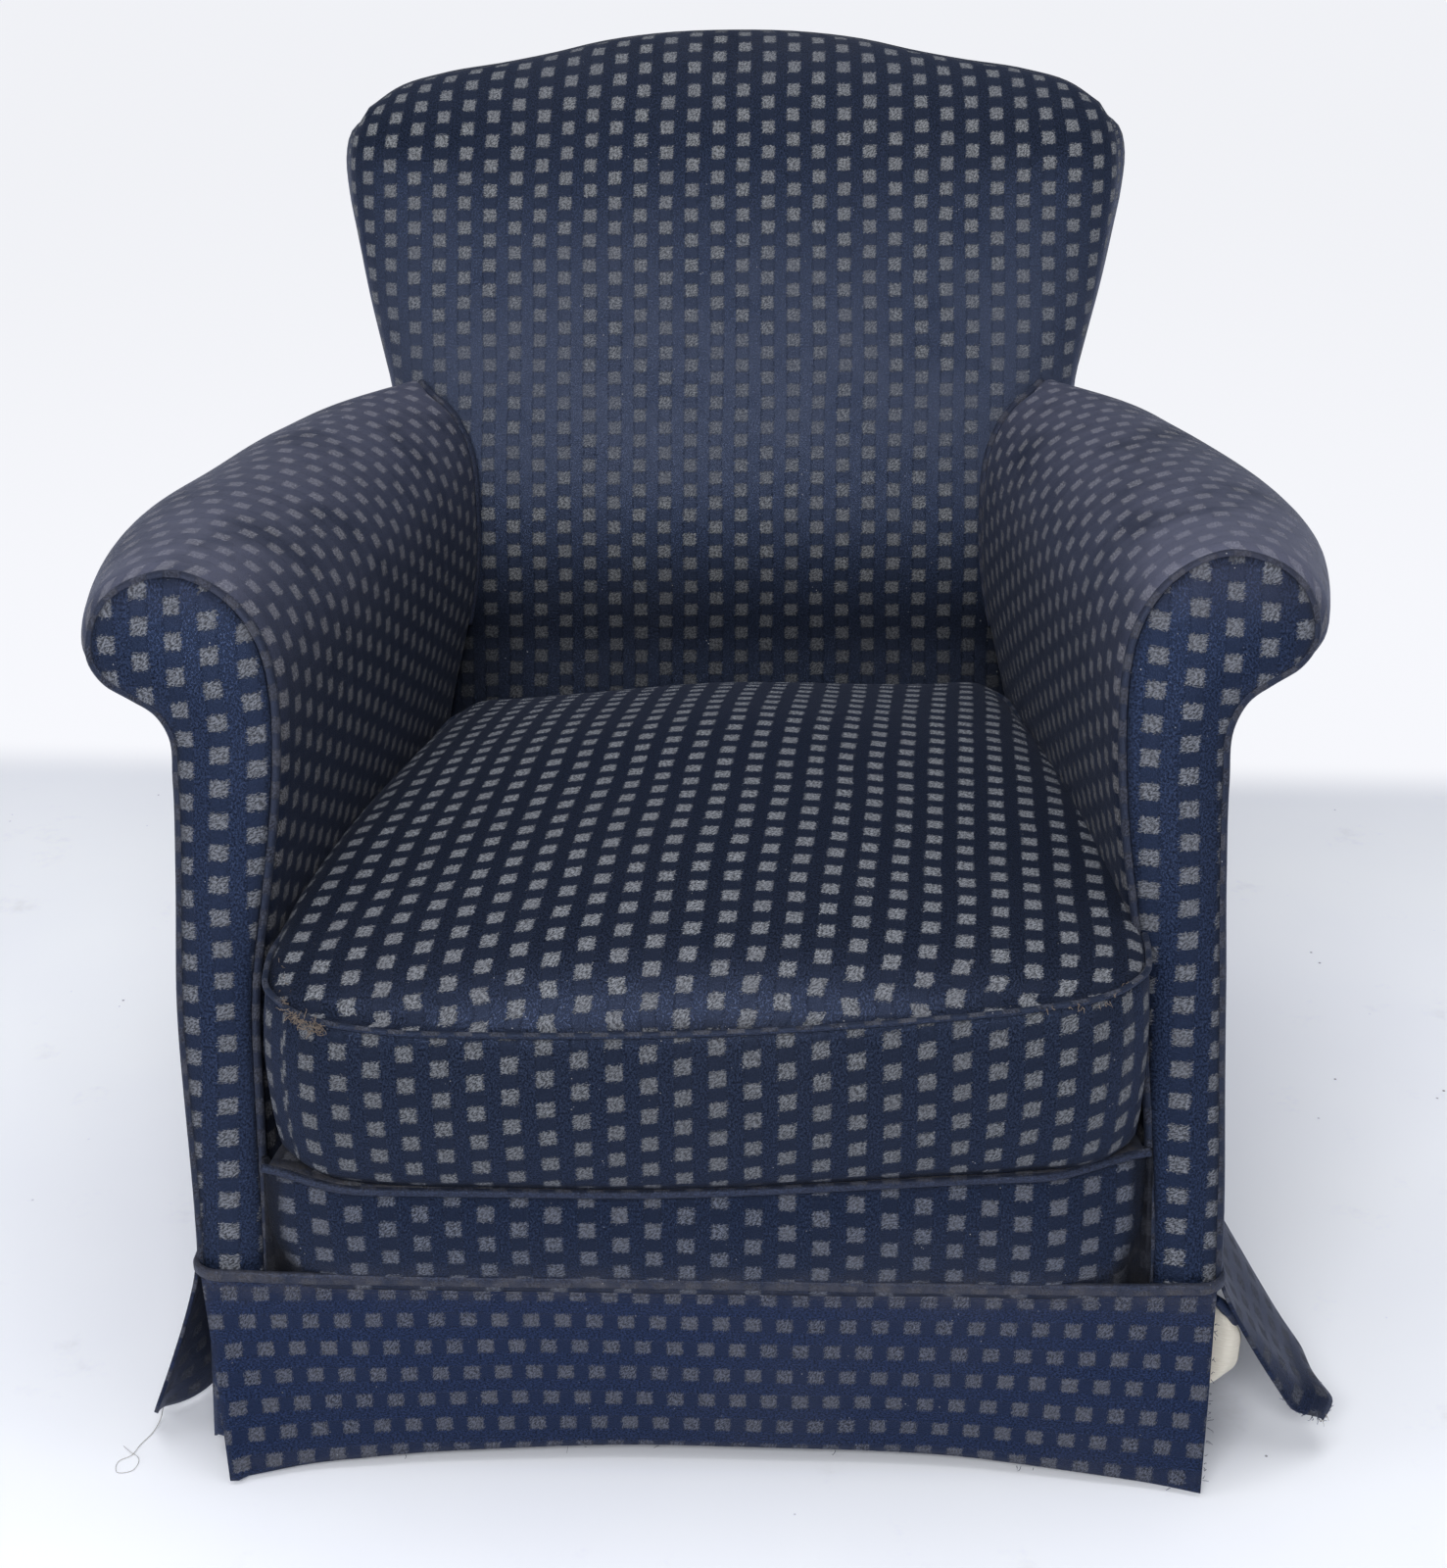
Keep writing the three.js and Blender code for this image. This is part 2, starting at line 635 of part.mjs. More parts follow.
// An angled piece of cloth behind each open corner of the skirt.
function skirtUnderlays() {
  const long = 78;
  const ends = { front: [3, 1], rear: [BASE_DEPTH + 2, -1] };
  for (const [end, [y, inward]] of Object.entries(ends)) {
    for (const side of [-1, 1]) {
      const x = 325;
      const angle = new THREE.Shape();
      angle.moveTo(x, y);
      angle.lineTo(x, y + inward * long);
      angle.lineTo(x - CLOTH, y + inward * long);
      angle.lineTo(x - CLOTH, y + inward * CLOTH);
      angle.lineTo(x - long, y + inward * CLOTH);
      angle.lineTo(x - long, y);
      const depth = SKIRT_TOP - WELT_RADIUS - 2 * GAP - 8;
      const form = new THREE.ExtrudeGeometry(angle, { depth, bevelEnabled: false }).translate(0, 0, 8);
      add(`skirt_underlay_${end}_${sideName(side)}`, shaped(form, (p) => {
        narrow(p);
        p.x *= side;
      }), NAVY);
    }
  }
}

// A loose end of cream lining that shows in the open right front corner.
function calicoLining() {
  const [low, high] = [60, 128];
  const sheet = bar([0, 1], [8, 10], [low, high], [2, 1, 3]);
  return shaped(sheet, (p) => {
    const drop = 1 - (p.z - low) / (high - low);
    p.y += 4 * p.x;
    p.x = 326 + p.x * (6 + 20 * drop);
  });
}

function skirtWelt() {
  const off = WELT_RADIUS - CLOTH / 2;
  const x = BASE_HALF_WIDTH + off;
  const rear = BASE_DEPTH + 12;
  const rearX = x * taper(rear);
  const flat = (px, py) => new THREE.Vector3(px, py, SKIRT_TOP);
  const right = [flat(x - 8, -10), flat(x, -3), flat(x, 8), flat(x * taper(350), 350), flat(rearX, rear - 12)];
  const left = right.map((p) => new THREE.Vector3(-p.x, p.y, p.z)).reverse();
  const points = [
    flat(1, rear),
    flat(rearX - 60, rear),
    flat(rearX - 8, rear - 1),
    ...right.reverse(),
    flat(200, -11),
    flat(0, -11),
    flat(-200, -11),
    ...left.reverse(),
    flat(-rearX + 8, rear - 1),
    flat(-rearX + 60, rear),
    flat(-1, rear),
  ];
  return cord(points, 60);
}

function skirt() {
  add('skirt_welt', skirtWelt(), NAVY_WELT);
  add('skirt_front', skirtFront(), NAVY);
  add('skirt_back', skirtBack(), NAVY);
  add('skirt_right', skirtSide(1), NAVY);
  add('skirt_left', skirtSide(-1), NAVY);
  skirtUnderlays();
  add('calico_lining', calicoLining(), CALICO);
}

// ---------------------------------------------------------------- the chair
seatFrame();
cornerBlocks();
feet();
backFrame();
backStraps();
seatSprings();
arms();
add('back_pad', backPad(), NAVY);
add('outside_back', outsideBack(), NAVY);
add('outside_back_welt', backWelt(), NAVY_WELT);
seatUpholstery();
skirt();

// The origin is the middle of the footprint, on the floor.
chair.updateMatrixWorld(true);
const bounds = new THREE.Box3().setFromObject(chair, true);
const centre = bounds.getCenter(new THREE.Vector3());
chair.position.set(-centre.x, -centre.y, -bounds.min.z);

export default chair;
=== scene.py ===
"""A low upholstered armchair in dark blue jacquard, worn, sagging and dusty.

Shapes are worked out in chair coordinates: millimetres, x = 0 is the middle of the chair, y = 0 the front of its
base and z = 0 the floor. The chair faces -y. world() turns them into the frame's metres.
"""

import math

import bmesh
import bpy
import numpy as np
from mathutils import Matrix, Vector
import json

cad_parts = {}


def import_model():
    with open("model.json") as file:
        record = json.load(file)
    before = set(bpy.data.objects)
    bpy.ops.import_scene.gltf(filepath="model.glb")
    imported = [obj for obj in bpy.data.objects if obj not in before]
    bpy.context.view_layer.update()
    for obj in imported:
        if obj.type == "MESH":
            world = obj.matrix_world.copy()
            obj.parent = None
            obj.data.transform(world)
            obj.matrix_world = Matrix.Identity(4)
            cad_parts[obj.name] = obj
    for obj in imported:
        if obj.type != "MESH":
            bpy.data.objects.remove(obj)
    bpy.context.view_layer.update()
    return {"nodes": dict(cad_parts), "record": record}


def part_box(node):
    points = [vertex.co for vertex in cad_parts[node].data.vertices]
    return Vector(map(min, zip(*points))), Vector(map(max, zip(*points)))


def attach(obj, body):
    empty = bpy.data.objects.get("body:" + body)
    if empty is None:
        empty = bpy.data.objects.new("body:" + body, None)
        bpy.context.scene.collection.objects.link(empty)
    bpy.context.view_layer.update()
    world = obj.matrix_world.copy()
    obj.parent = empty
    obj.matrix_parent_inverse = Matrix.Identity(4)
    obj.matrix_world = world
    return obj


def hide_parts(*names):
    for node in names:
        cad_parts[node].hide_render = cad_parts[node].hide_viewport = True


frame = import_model()
rail_low, rail_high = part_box("front_rail")
ORIGIN = np.array([500 * (rail_low[0] + rail_high[0]), 1000 * rail_low[1] - 27, 0])
RANDOM = np.random.default_rng(7)

FRONT_RAKE = math.tan(math.radians(17))
BACK_RAKE = math.tan(math.radians(22))
SKIRT_TOP = 150
SKIRT_SEAM = 147      # where the skirt panels hang from
COVER = 0.0022        # thickness of the covering cloth, in metres
DEPTH = 700
TAPER = 0.094


def world(points):
    return (np.asarray(points, float) + ORIGIN) / 1000


# ---------------------------------------------------------------- curves and surfaces
def ramp(x, low, high):
    t = np.clip((np.asarray(x, float) - low) / (high - low), 0, 1)
    return t * t * (3 - 2 * t)


def flow(at, knots):
    """A smooth curve through (x, y) knots, held level beyond its ends."""
    xs, ys = np.array(knots, float).T
    slopes = np.gradient(ys, xs)
    at = np.clip(np.asarray(at, float), xs[0], xs[-1])
    i = np.clip(np.searchsorted(xs, at, side="right") - 1, 0, len(xs) - 2)
    h = xs[i + 1] - xs[i]
    t = (at - xs[i]) / h
    low = ys[i] * (1 + 2 * t) * (1 - t) ** 2 + slopes[i] * h * t * (1 - t) ** 2
    high = ys[i + 1] * t * t * (3 - 2 * t) + slopes[i + 1] * h * t * t * (t - 1)
    return low + high


def trace(points, count, closed=False):
    """Evenly spaced points on a smooth curve through the given ones; a closed one repeats its first point."""
    points = np.array(points, float)
    if closed:
        points = np.vstack([points[-3:], points, points[:4]])
    knots = np.concatenate([[0], np.cumsum(np.linalg.norm(np.diff(points, axis=0), axis=1))])
    fine = np.linspace(knots[0], knots[-1], 40 * len(points))
    if closed:
        fine = np.linspace(knots[3], knots[-4], 40 * len(points))
    line = np.stack([flow(fine, list(zip(knots, column))) for column in points.T], axis=1)
    along = np.concatenate([[0], np.cumsum(np.linalg.norm(np.diff(line, axis=0), axis=1))])
    want = np.linspace(0, along[-1], count)
    return np.stack([np.interp(want, along, column) for column in line.T], axis=1)


def spaced(points, share):
    """Points along a smooth curve, at the given shares of its length."""
    line = trace(points, 800)
    return np.stack([np.interp(share, np.linspace(0, 1, 800), column) for column in line.T], axis=1)


def lengths(points, axis):
    """Distance travelled along one axis of a grid of points."""
    steps = np.linalg.norm(np.diff(points, axis=axis), axis=-1)
    zero = np.zeros_like(np.take(steps, [0], axis=axis))
    return np.concatenate([zero, np.cumsum(steps, axis=axis)], axis=axis)


def waves(x, y, size, seed=0):
    """Smooth unevenness between -1 and 1 over a distance of about size."""
    total = np.zeros(np.broadcast(x, y).shape)
    rng = np.random.default_rng(seed)
    for _ in range(7):
        angle, shift = rng.uniform(0, 2 * math.pi, 2)
        wide = size * rng.uniform(0.7, 1.6)
        total += np.sin((x * math.cos(angle) + y * math.sin(angle)) * 2 * math.pi / wide + shift)
    return total / 4


def build(name, patches, weld=0.05):
    """One mesh from grids of (points, cloth position, {attribute: grid}); edges that meet are joined."""
    verts, uvs, faces, start = [], [], [], 0
    extras = {"wear_and_sheen": [], "dust": [], "shade": []}
    for patch in patches:
        points, cloth = patch[0], patch[1]
        given = patch[2] if len(patch) > 2 else {}
        n, m = points.shape[:2]
        verts.append(world(points).reshape(-1, 3))
        uvs.append(np.asarray(cloth, float).reshape(-1, 2) / 1000)
        for key, lists in extras.items():
            lists.append(np.broadcast_to(given.get(key, 0.0), (n, m)).reshape(-1))
        index = start + np.arange(n * m).reshape(n, m)
        quads = np.stack([index[:-1, :-1], index[1:, :-1], index[1:, 1:], index[:-1, 1:]], axis=-1)
        faces.append(quads.reshape(-1, 4))
        start += n * m
    verts, uvs, faces = np.concatenate(verts), np.concatenate(uvs), np.concatenate(faces)
    mesh = bpy.data.meshes.new(name)
    mesh.from_pydata(verts.tolist(), [], faces.tolist())
    layer = mesh.uv_layers.new(name="cloth")
    loop_verts = np.empty(len(mesh.loops), np.int32)
    mesh.loops.foreach_get("vertex_index", loop_verts)
    layer.data.foreach_set("uv", uvs[loop_verts].astype(np.float32).ravel())
    for key, lists in extras.items():
        mesh.attributes.new(key, "FLOAT", "POINT").data.foreach_set("value",
                np.concatenate(lists).astype(np.float32))
    joined = bmesh.new()
    joined.from_mesh(mesh)
    bmesh.ops.remove_doubles(joined, verts=joined.verts, dist=weld / 1000)
    bmesh.ops.recalc_face_normals(joined, faces=joined.faces)
    joined.to_mesh(mesh)
    joined.free()
    mesh.shade_smooth()
    piece = bpy.data.objects.new(name, mesh)
    bpy.context.collection.objects.link(piece)
    return piece


def close_holes(piece):
    shell = bmesh.new()
    shell.from_mesh(piece.data)
    rim = [edge for edge in shell.edges if edge.is_boundary]
    bmesh.ops.holes_fill(shell, edges=rim, sides=0)
    bmesh.ops.recalc_face_normals(shell, faces=shell.faces)
    shell.to_mesh(piece.data)
    shell.free()


def disc(sides, centre, levels):
    """Grid points inside an outline given as four sides of equal count, with each point's share of the way out.

    Returns the plan position of each grid point, its share r, and the place on the outline it lies towards.
    """
    n = len(levels)
    loop = np.concatenate([side[:-1] for side in sides])
    count = len(loop)
    step = count // 4
    p, q = np.meshgrid(levels, levels, indexing="ij")
    r = np.maximum(np.abs(p), np.abs(q))
    safe = np.where(r == 0, 1, r)
    px, qx = p / safe, q / safe
    share = lambda value: np.interp(value, levels, np.linspace(0, 1, n)) * step
    at = np.where(qx <= -1, share(px), 0.0)
    at = np.where((px >= 1) & (qx > -1), step + share(qx), at)
    at = np.where((qx >= 1) & (px < 1), 2 * step + share(-px), at)
    at = np.where((px <= -1) & (qx < 1) & (qx > -1), 3 * step + share(-qx), at)
    low = np.floor(at).astype(int)
    part = (at - low)[..., None]
    edge = loop[low % count] * (1 - part) + loop[(low + 1) % count] * part
    points = centre + (edge - centre) * r[..., None]
    return points, r, at % count


def rim_of(grid):
    """The outermost values of a grid, in order round its four sides."""
    return np.concatenate([grid[:-1, 0], grid[-1, :-1], grid[:0:-1, -1], grid[0, :0:-1]])


def outward(loop):
    """Outward normals of a closed counter-clockwise loop of plan points."""
    along = np.roll(loop, -1, axis=0) - np.roll(loop, 1, axis=0)
    normal = np.stack([along[:, 1], -along[:, 0]], axis=1)
    return normal / np.linalg.norm(normal, axis=1)[:, None]


def around(values, at):
    """Values given per point of a closed loop, read at places between them."""
    count = len(values)
    low = np.floor(at).astype(int)
    part = (at - low).reshape(at.shape + (1,) * (values.ndim - 1))
    return values[low % count] * (1 - part) + values[(low + 1) % count] * part


def tube(path, radius, sides=10, closed=False):
    """A round cord along a path: grid of points and the cloth that covers it."""
    path = np.array(path, float)
    radius = np.broadcast_to(radius, len(path))
    if closed:
        along = np.roll(path[:-1], -1, axis=0) - np.roll(path[:-1], 1, axis=0)
        along = np.vstack([along, along[:1]])
    else:
        along = np.gradient(path, axis=0)
    along /= np.linalg.norm(along, axis=1)[:, None]
    side = np.empty_like(path)
    first = np.cross(along[0], [0.3, 0.2, 0.9])
    side[0] = first / np.linalg.norm(first)
    for i in range(1, len(path)):
        turned = side[i - 1] - along[i] * np.dot(side[i - 1], along[i])
        side[i] = turned / np.linalg.norm(turned)
    if closed:
        twist = math.atan2(np.dot(np.cross(side[-1], side[0]), along[0]), np.dot(side[-1], side[0]))
        turn = np.linspace(0, twist, len(path))[:, None]
        side = side * np.cos(turn) + np.cross(along, side) * np.sin(turn)
    other = np.cross(along, side)
    angle = np.linspace(0, 2 * math.pi, sides + 1)
    ring = side[:, None] * np.cos(angle)[:, None] + other[:, None] * np.sin(angle)[:, None]
    points = path[:, None] + ring * radius[:, None, None]
    far = np.concatenate([[0], np.cumsum(np.linalg.norm(np.diff(path, axis=0), axis=1))])
    cloth = np.stack(np.broadcast_arrays(angle[None, :] * radius.mean(), far[:, None]), axis=-1)
    return points, cloth


def puff(piece, held, pressure, cap, stiffness=12, steps=14):
    """Fills a closed cloth shell: vertices where held(position in mm) is 1 stay, others move by up to cap mm."""
    mesh = piece.data
    count = len(mesh.vertices)
    rest = np.empty(count * 3, np.float32)
    mesh.vertices.foreach_get("co", rest)
    rest = rest.reshape(-1, 3)
    weights = np.clip(held(rest * 1000 - ORIGIN), 0, 1)
    group = piece.vertex_groups.new(name="held")
    for i in np.nonzero(weights > 0.01)[0]:
        group.add([int(i)], float(weights[i]), "REPLACE")
    cloth = piece.modifiers.new("cloth", "CLOTH")
    settings = cloth.settings
    settings.quality = 6
    settings.mass = 0.3
    settings.tension_stiffness = settings.compression_stiffness = stiffness
    settings.shear_stiffness = stiffness / 2
    settings.bending_stiffness = 0.6
    settings.air_damping = 4
    settings.vertex_group_mass = "held"
    settings.use_pressure = True
    settings.uniform_pressure_force = pressure
    settings.effector_weights.gravity = 0
    cloth.point_cache.frame_start = 1
    cloth.point_cache.frame_end = steps
    scene = bpy.context.scene
    for step in range(1, steps + 1):
        scene.frame_set(step)
    shown = piece.evaluated_get(bpy.context.evaluated_depsgraph_get())
    moved = np.empty(count * 3, np.float32)
    shown.data.vertices.foreach_get("co", moved)
    shift = moved.reshape(-1, 3) - rest
    far = np.linalg.norm(shift, axis=1, keepdims=True)
    shift *= np.tanh(far / (cap / 1000)) * (cap / 1000) / np.maximum(far, 1e-9)
    piece.modifiers.remove(cloth)
    piece.vertex_groups.remove(group)
    mesh.vertices.foreach_set("co", (rest + shift).astype(np.float32).ravel())
    mesh.update()
    scene.frame_set(1)


# ---------------------------------------------------------------- materials
class Nodes:
    """A short way to write node expressions."""

    def __init__(self, name):
        self.material = bpy.data.materials.new(name)
        self.material.use_nodes = True
        self.tree = self.material.node_tree
        self.shader = self.tree.nodes["Principled BSDF"]

    def put(self, socket, value):
        if isinstance(value, bpy.types.NodeSocket):
            self.tree.links.new(value, socket)
        else:
            socket.default_value = value

    def node(self, kind, **settings):
        made = self.tree.nodes.new(kind)
        for key, value in settings.items():
            setattr(made, key, value)
        return made

    def math(self, operation, a, b=0.0, c=0.0, clamp=False):
        made = self.node("ShaderNodeMath", operation=operation, use_clamp=clamp)
        for socket, value in zip(made.inputs, (a, b, c)):
            self.put(socket, value)
        return made.outputs[0]

    def mul(self, a, b, clamp=False):
        return self.math("MULTIPLY", a, b, clamp=clamp)

    def add(self, a, b):
        return self.math("ADD", a, b)

    def sub(self, a, b):
        return self.math("SUBTRACT", a, b)

    def step(self, value, low, high, a=0.0, b=1.0):
        made = self.node("ShaderNodeMapRange", interpolation_type="SMOOTHSTEP")
        for socket, given in zip(made.inputs, (value, low, high, a, b)):
            self.put(socket, given)
        return made.outputs[0]

    def mix(self, share, a, b, blend="MIX"):
        made = self.node("ShaderNodeMix", data_type="RGBA", blend_type=blend)
        self.put(made.inputs[0], share)
        self.put(made.inputs[6], a)
        self.put(made.inputs[7], b)
        return made.outputs[2]

    def vector(self, x, y, z=0.0):
        made = self.node("ShaderNodeCombineXYZ")
        for socket, value in zip(made.inputs, (x, y, z)):
            self.put(socket, value)
        return made.outputs[0]

    def noise(self, vector, scale, detail=2.0, rough=0.5):
        made = self.node("ShaderNodeTexNoise")
        self.put(made.inputs["Vector"], vector)
        made.inputs["Scale"].default_value = scale
        made.inputs["Detail"].default_value = detail
        made.inputs["Roughness"].default_value = rough
        return made.outputs[0]

    def attribute(self, name):
        return self.node("ShaderNodeAttribute", attribute_name=name).outputs["Fac"]

    def place(self):
        return self.node("ShaderNodeTexCoord").outputs["Object"]

    def cloth(self):
        split = self.node("ShaderNodeSeparateXYZ")
        self.tree.links.new(self.node("ShaderNodeUVMap", uv_map="cloth").outputs[0], split.inputs[0])
        return split.outputs[0], split.outputs[1]

    def bump(self, height, strength, distance, normal=None):
        made = self.node("ShaderNodeBump")
        made.inputs["Strength"].default_value = strength
        made.inputs["Distance"].default_value = distance
        self.put(made.inputs["Height"], height)
        if normal is not None:
            self.put(made.inputs["Normal"], normal)
        return made.outputs[0]


COLUMN = 0.021      # distance between columns of squares
REPEAT = 0.0205     # distance between squares in a column
SQUARE = 0.0102


def jacquard(name, ground=(0.017, 0.025, 0.050), square=(0.142, 0.151, 0.170), dusty=0.3, shine=0.76,
        satin=0.92, sheen_and_wear_colour=(0.060, 0.059, 0.082)):
    """Dark blue satin with half-dropped columns of small squares, as worn and dusty as its attributes say. The
    wear attribute also lifts the colour as painted sheen, and the shade attribute darkens it as painted shade.
    """
    n = Nodes(name)
    u, v = n.cloth()
    where = n.place()
    # threads wander a little, so no square has a straight edge
    wander = n.noise(n.vector(n.mul(u, 560.0), n.mul(v, 1500.0)), 1.0, 1.0)
    stray = n.mul(n.sub(wander, 0.5), 0.0068)
    drift = n.noise(where, 9.0, 1.0)
    bend = n.mul(n.sub(drift, 0.5), 0.006)
    us = n.add(n.math("DIVIDE", n.add(u, n.add(stray, bend)), COLUMN), 1000.0)
    column = n.math("FLOOR", us)
    odd = n.math("MODULO", column, 2.0)
    vs = n.add(n.math("DIVIDE", n.add(v, stray), REPEAT), n.mul(odd, 0.5))
    vs = n.add(vs, 1000.0)
    across = n.math("ABSOLUTE", n.sub(n.math("FRACT", us), 0.5))
    down = n.math("ABSOLUTE", n.sub(n.math("FRACT", vs), 0.5))
    in_column = n.step(across, SQUARE / COLUMN / 2 - 0.012, SQUARE / COLUMN / 2 + 0.016, 1.0, 0.0)
    in_square = n.step(down, SQUARE / REPEAT / 2 - 0.012, SQUARE / REPEAT / 2 + 0.016, 1.0, 0.0)
    figure = n.mul(in_column, in_square)
    block = n.mul(in_column, n.sub(1.0, in_square))
    # each square is a broken twill of short pale threads
    slant = n.sub(n.mul(u, 530.0), n.mul(v, 760.0))
    along = n.add(n.mul(u, 380.0), n.mul(v, 265.0))
    tuft = n.noise(n.vector(slant, along), 1.0, 2.0, 0.65)
    twill = n.step(tuft, 0.37, 0.61)
    weft = n.noise(n.vector(n.mul(u, 820.0), n.mul(v, 600.0)), 1.0, 3.0, 0.75)
    grain = n.step(weft, 0.39, 0.63)
    faded = n.noise(where, 16.0, 3.0, 0.6)
    wear_and_sheen = n.attribute("wear_and_sheen")
    dust = n.attribute("dust")
    shade = n.attribute("shade")
    wear_sheen_mask = n.mul(wear_and_sheen, n.step(faded, 0.08, 0.58), clamp=True)
    deep = tuple(satin * c for c in ground) + (1,)
    bright = tuple(1.95 * c for c in ground) + (1,)
    plain = n.mix(grain, tuple(0.45 * c for c in ground) + (1,), bright)
    # painted glints: pale specks in the satin ground
    plain = n.mix(n.step(weft, 0.60, 0.70, 0.0, 0.55), plain, (0.080, 0.090, 0.120, 1))
    plain = n.mix(n.mul(block, 0.8), plain, deep)
    pale = n.mix(twill, tuple(0.30 * c for c in square) + (1,), tuple(1.62 * c for c in square) + (1,))
    pale = n.mix(n.mul(n.step(faded, 0.35, 0.7), 0.35), pale, (0.115, 0.118, 0.135, 1))
    colour = n.mix(figure, plain, pale)
    # wear and painted sheen: the colour is lifted towards the paler colour given for both
    colour = n.mix(n.mul(wear_sheen_mask, 0.60), colour, sheen_and_wear_colour + (1,))
    # painted shade: the colour is darkened towards near-black
    colour = n.mix(shade, colour, (0.004, 0.005, 0.008, 1))
    # dust lies thinly all over, more where the attribute says so
    soft = n.noise(where, 5.0, 4.0, 0.62)
    film = n.mul(n.step(soft, 0.42, 0.78), 0.05 * dusty)
    film = n.add(film, n.mul(dust, n.step(n.noise(where, 60.0, 3.0, 0.7), 0.25, 0.75)))
    colour = n.mix(n.math("MINIMUM", film, 1.0), colour, (0.21, 0.19, 0.17, 1))
    # lint: rare pale flecks
    fleck = n.node("ShaderNodeTexVoronoi", feature="F1")
    fleck.inputs["Scale"].default_value = 260.0
    n.put(fleck.inputs["Vector"], where)
    dot = n.step(fleck.outputs["Distance"], 0.06, 0.13, 1.0, 0.0)
    rare = n.step(n.noise(where, 95.0, 1.0), 0.655, 0.69)
    colour = n.mix(n.mul(n.mul(dot, rare), 0.75), colour, (0.42, 0.42, 0.43, 1))
    n.put(n.shader.inputs["Base Color"], colour)
    silk = n.mul(n.sub(1.0, figure), n.sub(1.0, n.mul(wear_sheen_mask, 0.5)))
    silk = n.mul(silk, n.sub(1.0, n.mul(block, 0.20)))
    n.put(n.shader.inputs["Metallic"], n.mul(silk, shine))
    n.shader.inputs["Specular Tint"].default_value = (0.45, 0.5, 0.7, 1)
    rough = n.add(n.mul(figure, 0.35), n.mul(grain, 0.06))
    n.put(n.shader.inputs["Roughness"], n.add(rough, 0.38))
    n.shader.inputs["Specular IOR Level"].default_value = 0.22
    n.shader.inputs["Sheen Weight"].default_value = 0.06
    n.shader.inputs["Sheen Roughness"].default_value = 0.45
    n.shader.inputs["Sheen Tint"].default_value = (0.55, 0.62, 0.85, 1)
    thread = n.add(n.mul(figure, twill), n.mul(grain, 0.35))
    relief = n.sub(n.mul(thread, 0.5), n.mul(block, 0.55))
    n.put(n.shader.inputs["Normal"], n.bump(relief, 0.75, 0.0009))
    return n.material


def plain_weave(name, light, dark, threads=900.0, rough=0.85):
    """A plain woven cloth of one colour with uneven threads."""
    n = Nodes(name)
    u, v = n.cloth()
    where = n.place()
    over = n.mul(n.math("SINE", n.mul(u, threads * 6.283)), n.math("SINE", n.mul(v, threads * 6.283)))
    slub = n.noise(n.vector(n.mul(u, 120.0), n.mul(v, 900.0)), 1.0, 3.0)
    tone = n.add(n.mul(over, 0.22), slub)
    colour = n.mix(n.step(tone, 0.2, 0.9), dark + (1,), light + (1,))
    colour = n.mix(n.step(n.noise(where, 30.0, 4.0, 0.7), 0.5, 0.85, 0.0, 0.5), colour,
            tuple(0.62 * c for c in light) + (1,))
    n.put(n.shader.inputs["Base Color"], colour)
    n.shader.inputs["Roughness"].default_value = rough
    n.put(n.shader.inputs["Normal"], n.bump(tone, 0.4, 0.0004))
    return n.material


def sawn_wood(name):
    n = Nodes(name)
    where = n.place()
    stretch = n.node("ShaderNodeMapping")
    stretch.inputs["Scale"].default_value = (1.0, 1.0, 0.12)
    n.put(stretch.inputs["Vector"], where)
    rings = n.noise(stretch.outputs[0], 42.0, 5.0, 0.6)
    fine = n.noise(stretch.outputs[0], 380.0, 2.0, 0.7)
    tone = n.add(n.mul(rings, 0.8), n.mul(fine, 0.3))
    colour = n.mix(n.step(tone, 0.3, 0.8), (0.34, 0.21, 0.11, 1), (0.56, 0.40, 0.24, 1))
    colour = n.mix(n.step(n.noise(where, 7.0, 3.0), 0.5, 0.8, 0.0, 0.55), colour, (0.12, 0.09, 0.06, 1))
    n.put(n.shader.inputs["Base Color"], colour)
    n.shader.inputs["Roughness"].default_value = 0.72
    n.put(n.shader.inputs["Normal"], n.bump(tone, 0.35, 0.0008))
    return n.material


def dull_steel(name):
    n = Nodes(name)
    where = n.place()
    spots = n.step(n.noise(where, 240.0, 4.0, 0.7), 0.45, 0.75)
    n.put(n.shader.inputs["Base Color"], n.mix(spots, (0.30, 0.30, 0.32, 1), (0.17, 0.08, 0.04, 1)))
    n.put(n.shader.inputs["Metallic"], n.sub(1.0, n.mul(spots, 0.7)))
    n.put(n.shader.inputs["Roughness"], n.add(0.35, n.mul(spots, 0.4)))
    return n.material


CLOTH = jacquard("jacquard")
# the back and the arms lift to a paler colour for wear and painted sheen
BACK_CLOTH_SHEEN = jacquard("jacquard_back_painted_sheen", square=(0.140, 0.147, 0.158), sheen_and_wear_colour=(0.056, 0.068, 0.108))
ARM_CLOTH_SHEEN = jacquard("jacquard_arm_painted_sheen", ground=(0.017, 0.024, 0.048), square=(0.100, 0.101, 0.112), dusty=0.4,
        shine=0.62, satin=0.95, sheen_and_wear_colour=(0.150, 0.156, 0.226))
# darker copies of the jacquard: painted shade on the border, the deck and the arm fronts
FRONT_CLOTH_SHADED = jacquard("jacquard_front_painted_shade", ground=(0.0085, 0.0145, 0.034), square=(0.072, 0.081, 0.108),
        dusty=0.4, shine=0.42, satin=0.95)
FACING_CLOTH_SHADED = jacquard("jacquard_facing_painted_shade", ground=(0.0125, 0.0205, 0.047), square=(0.108, 0.116, 0.138),
        dusty=0.3, shine=0.52, satin=0.95)
PIPING = jacquard("jacquard_piping", ground=(0.018, 0.026, 0.050), square=(0.028, 0.033, 0.050), dusty=0.5,
        shine=0.5)
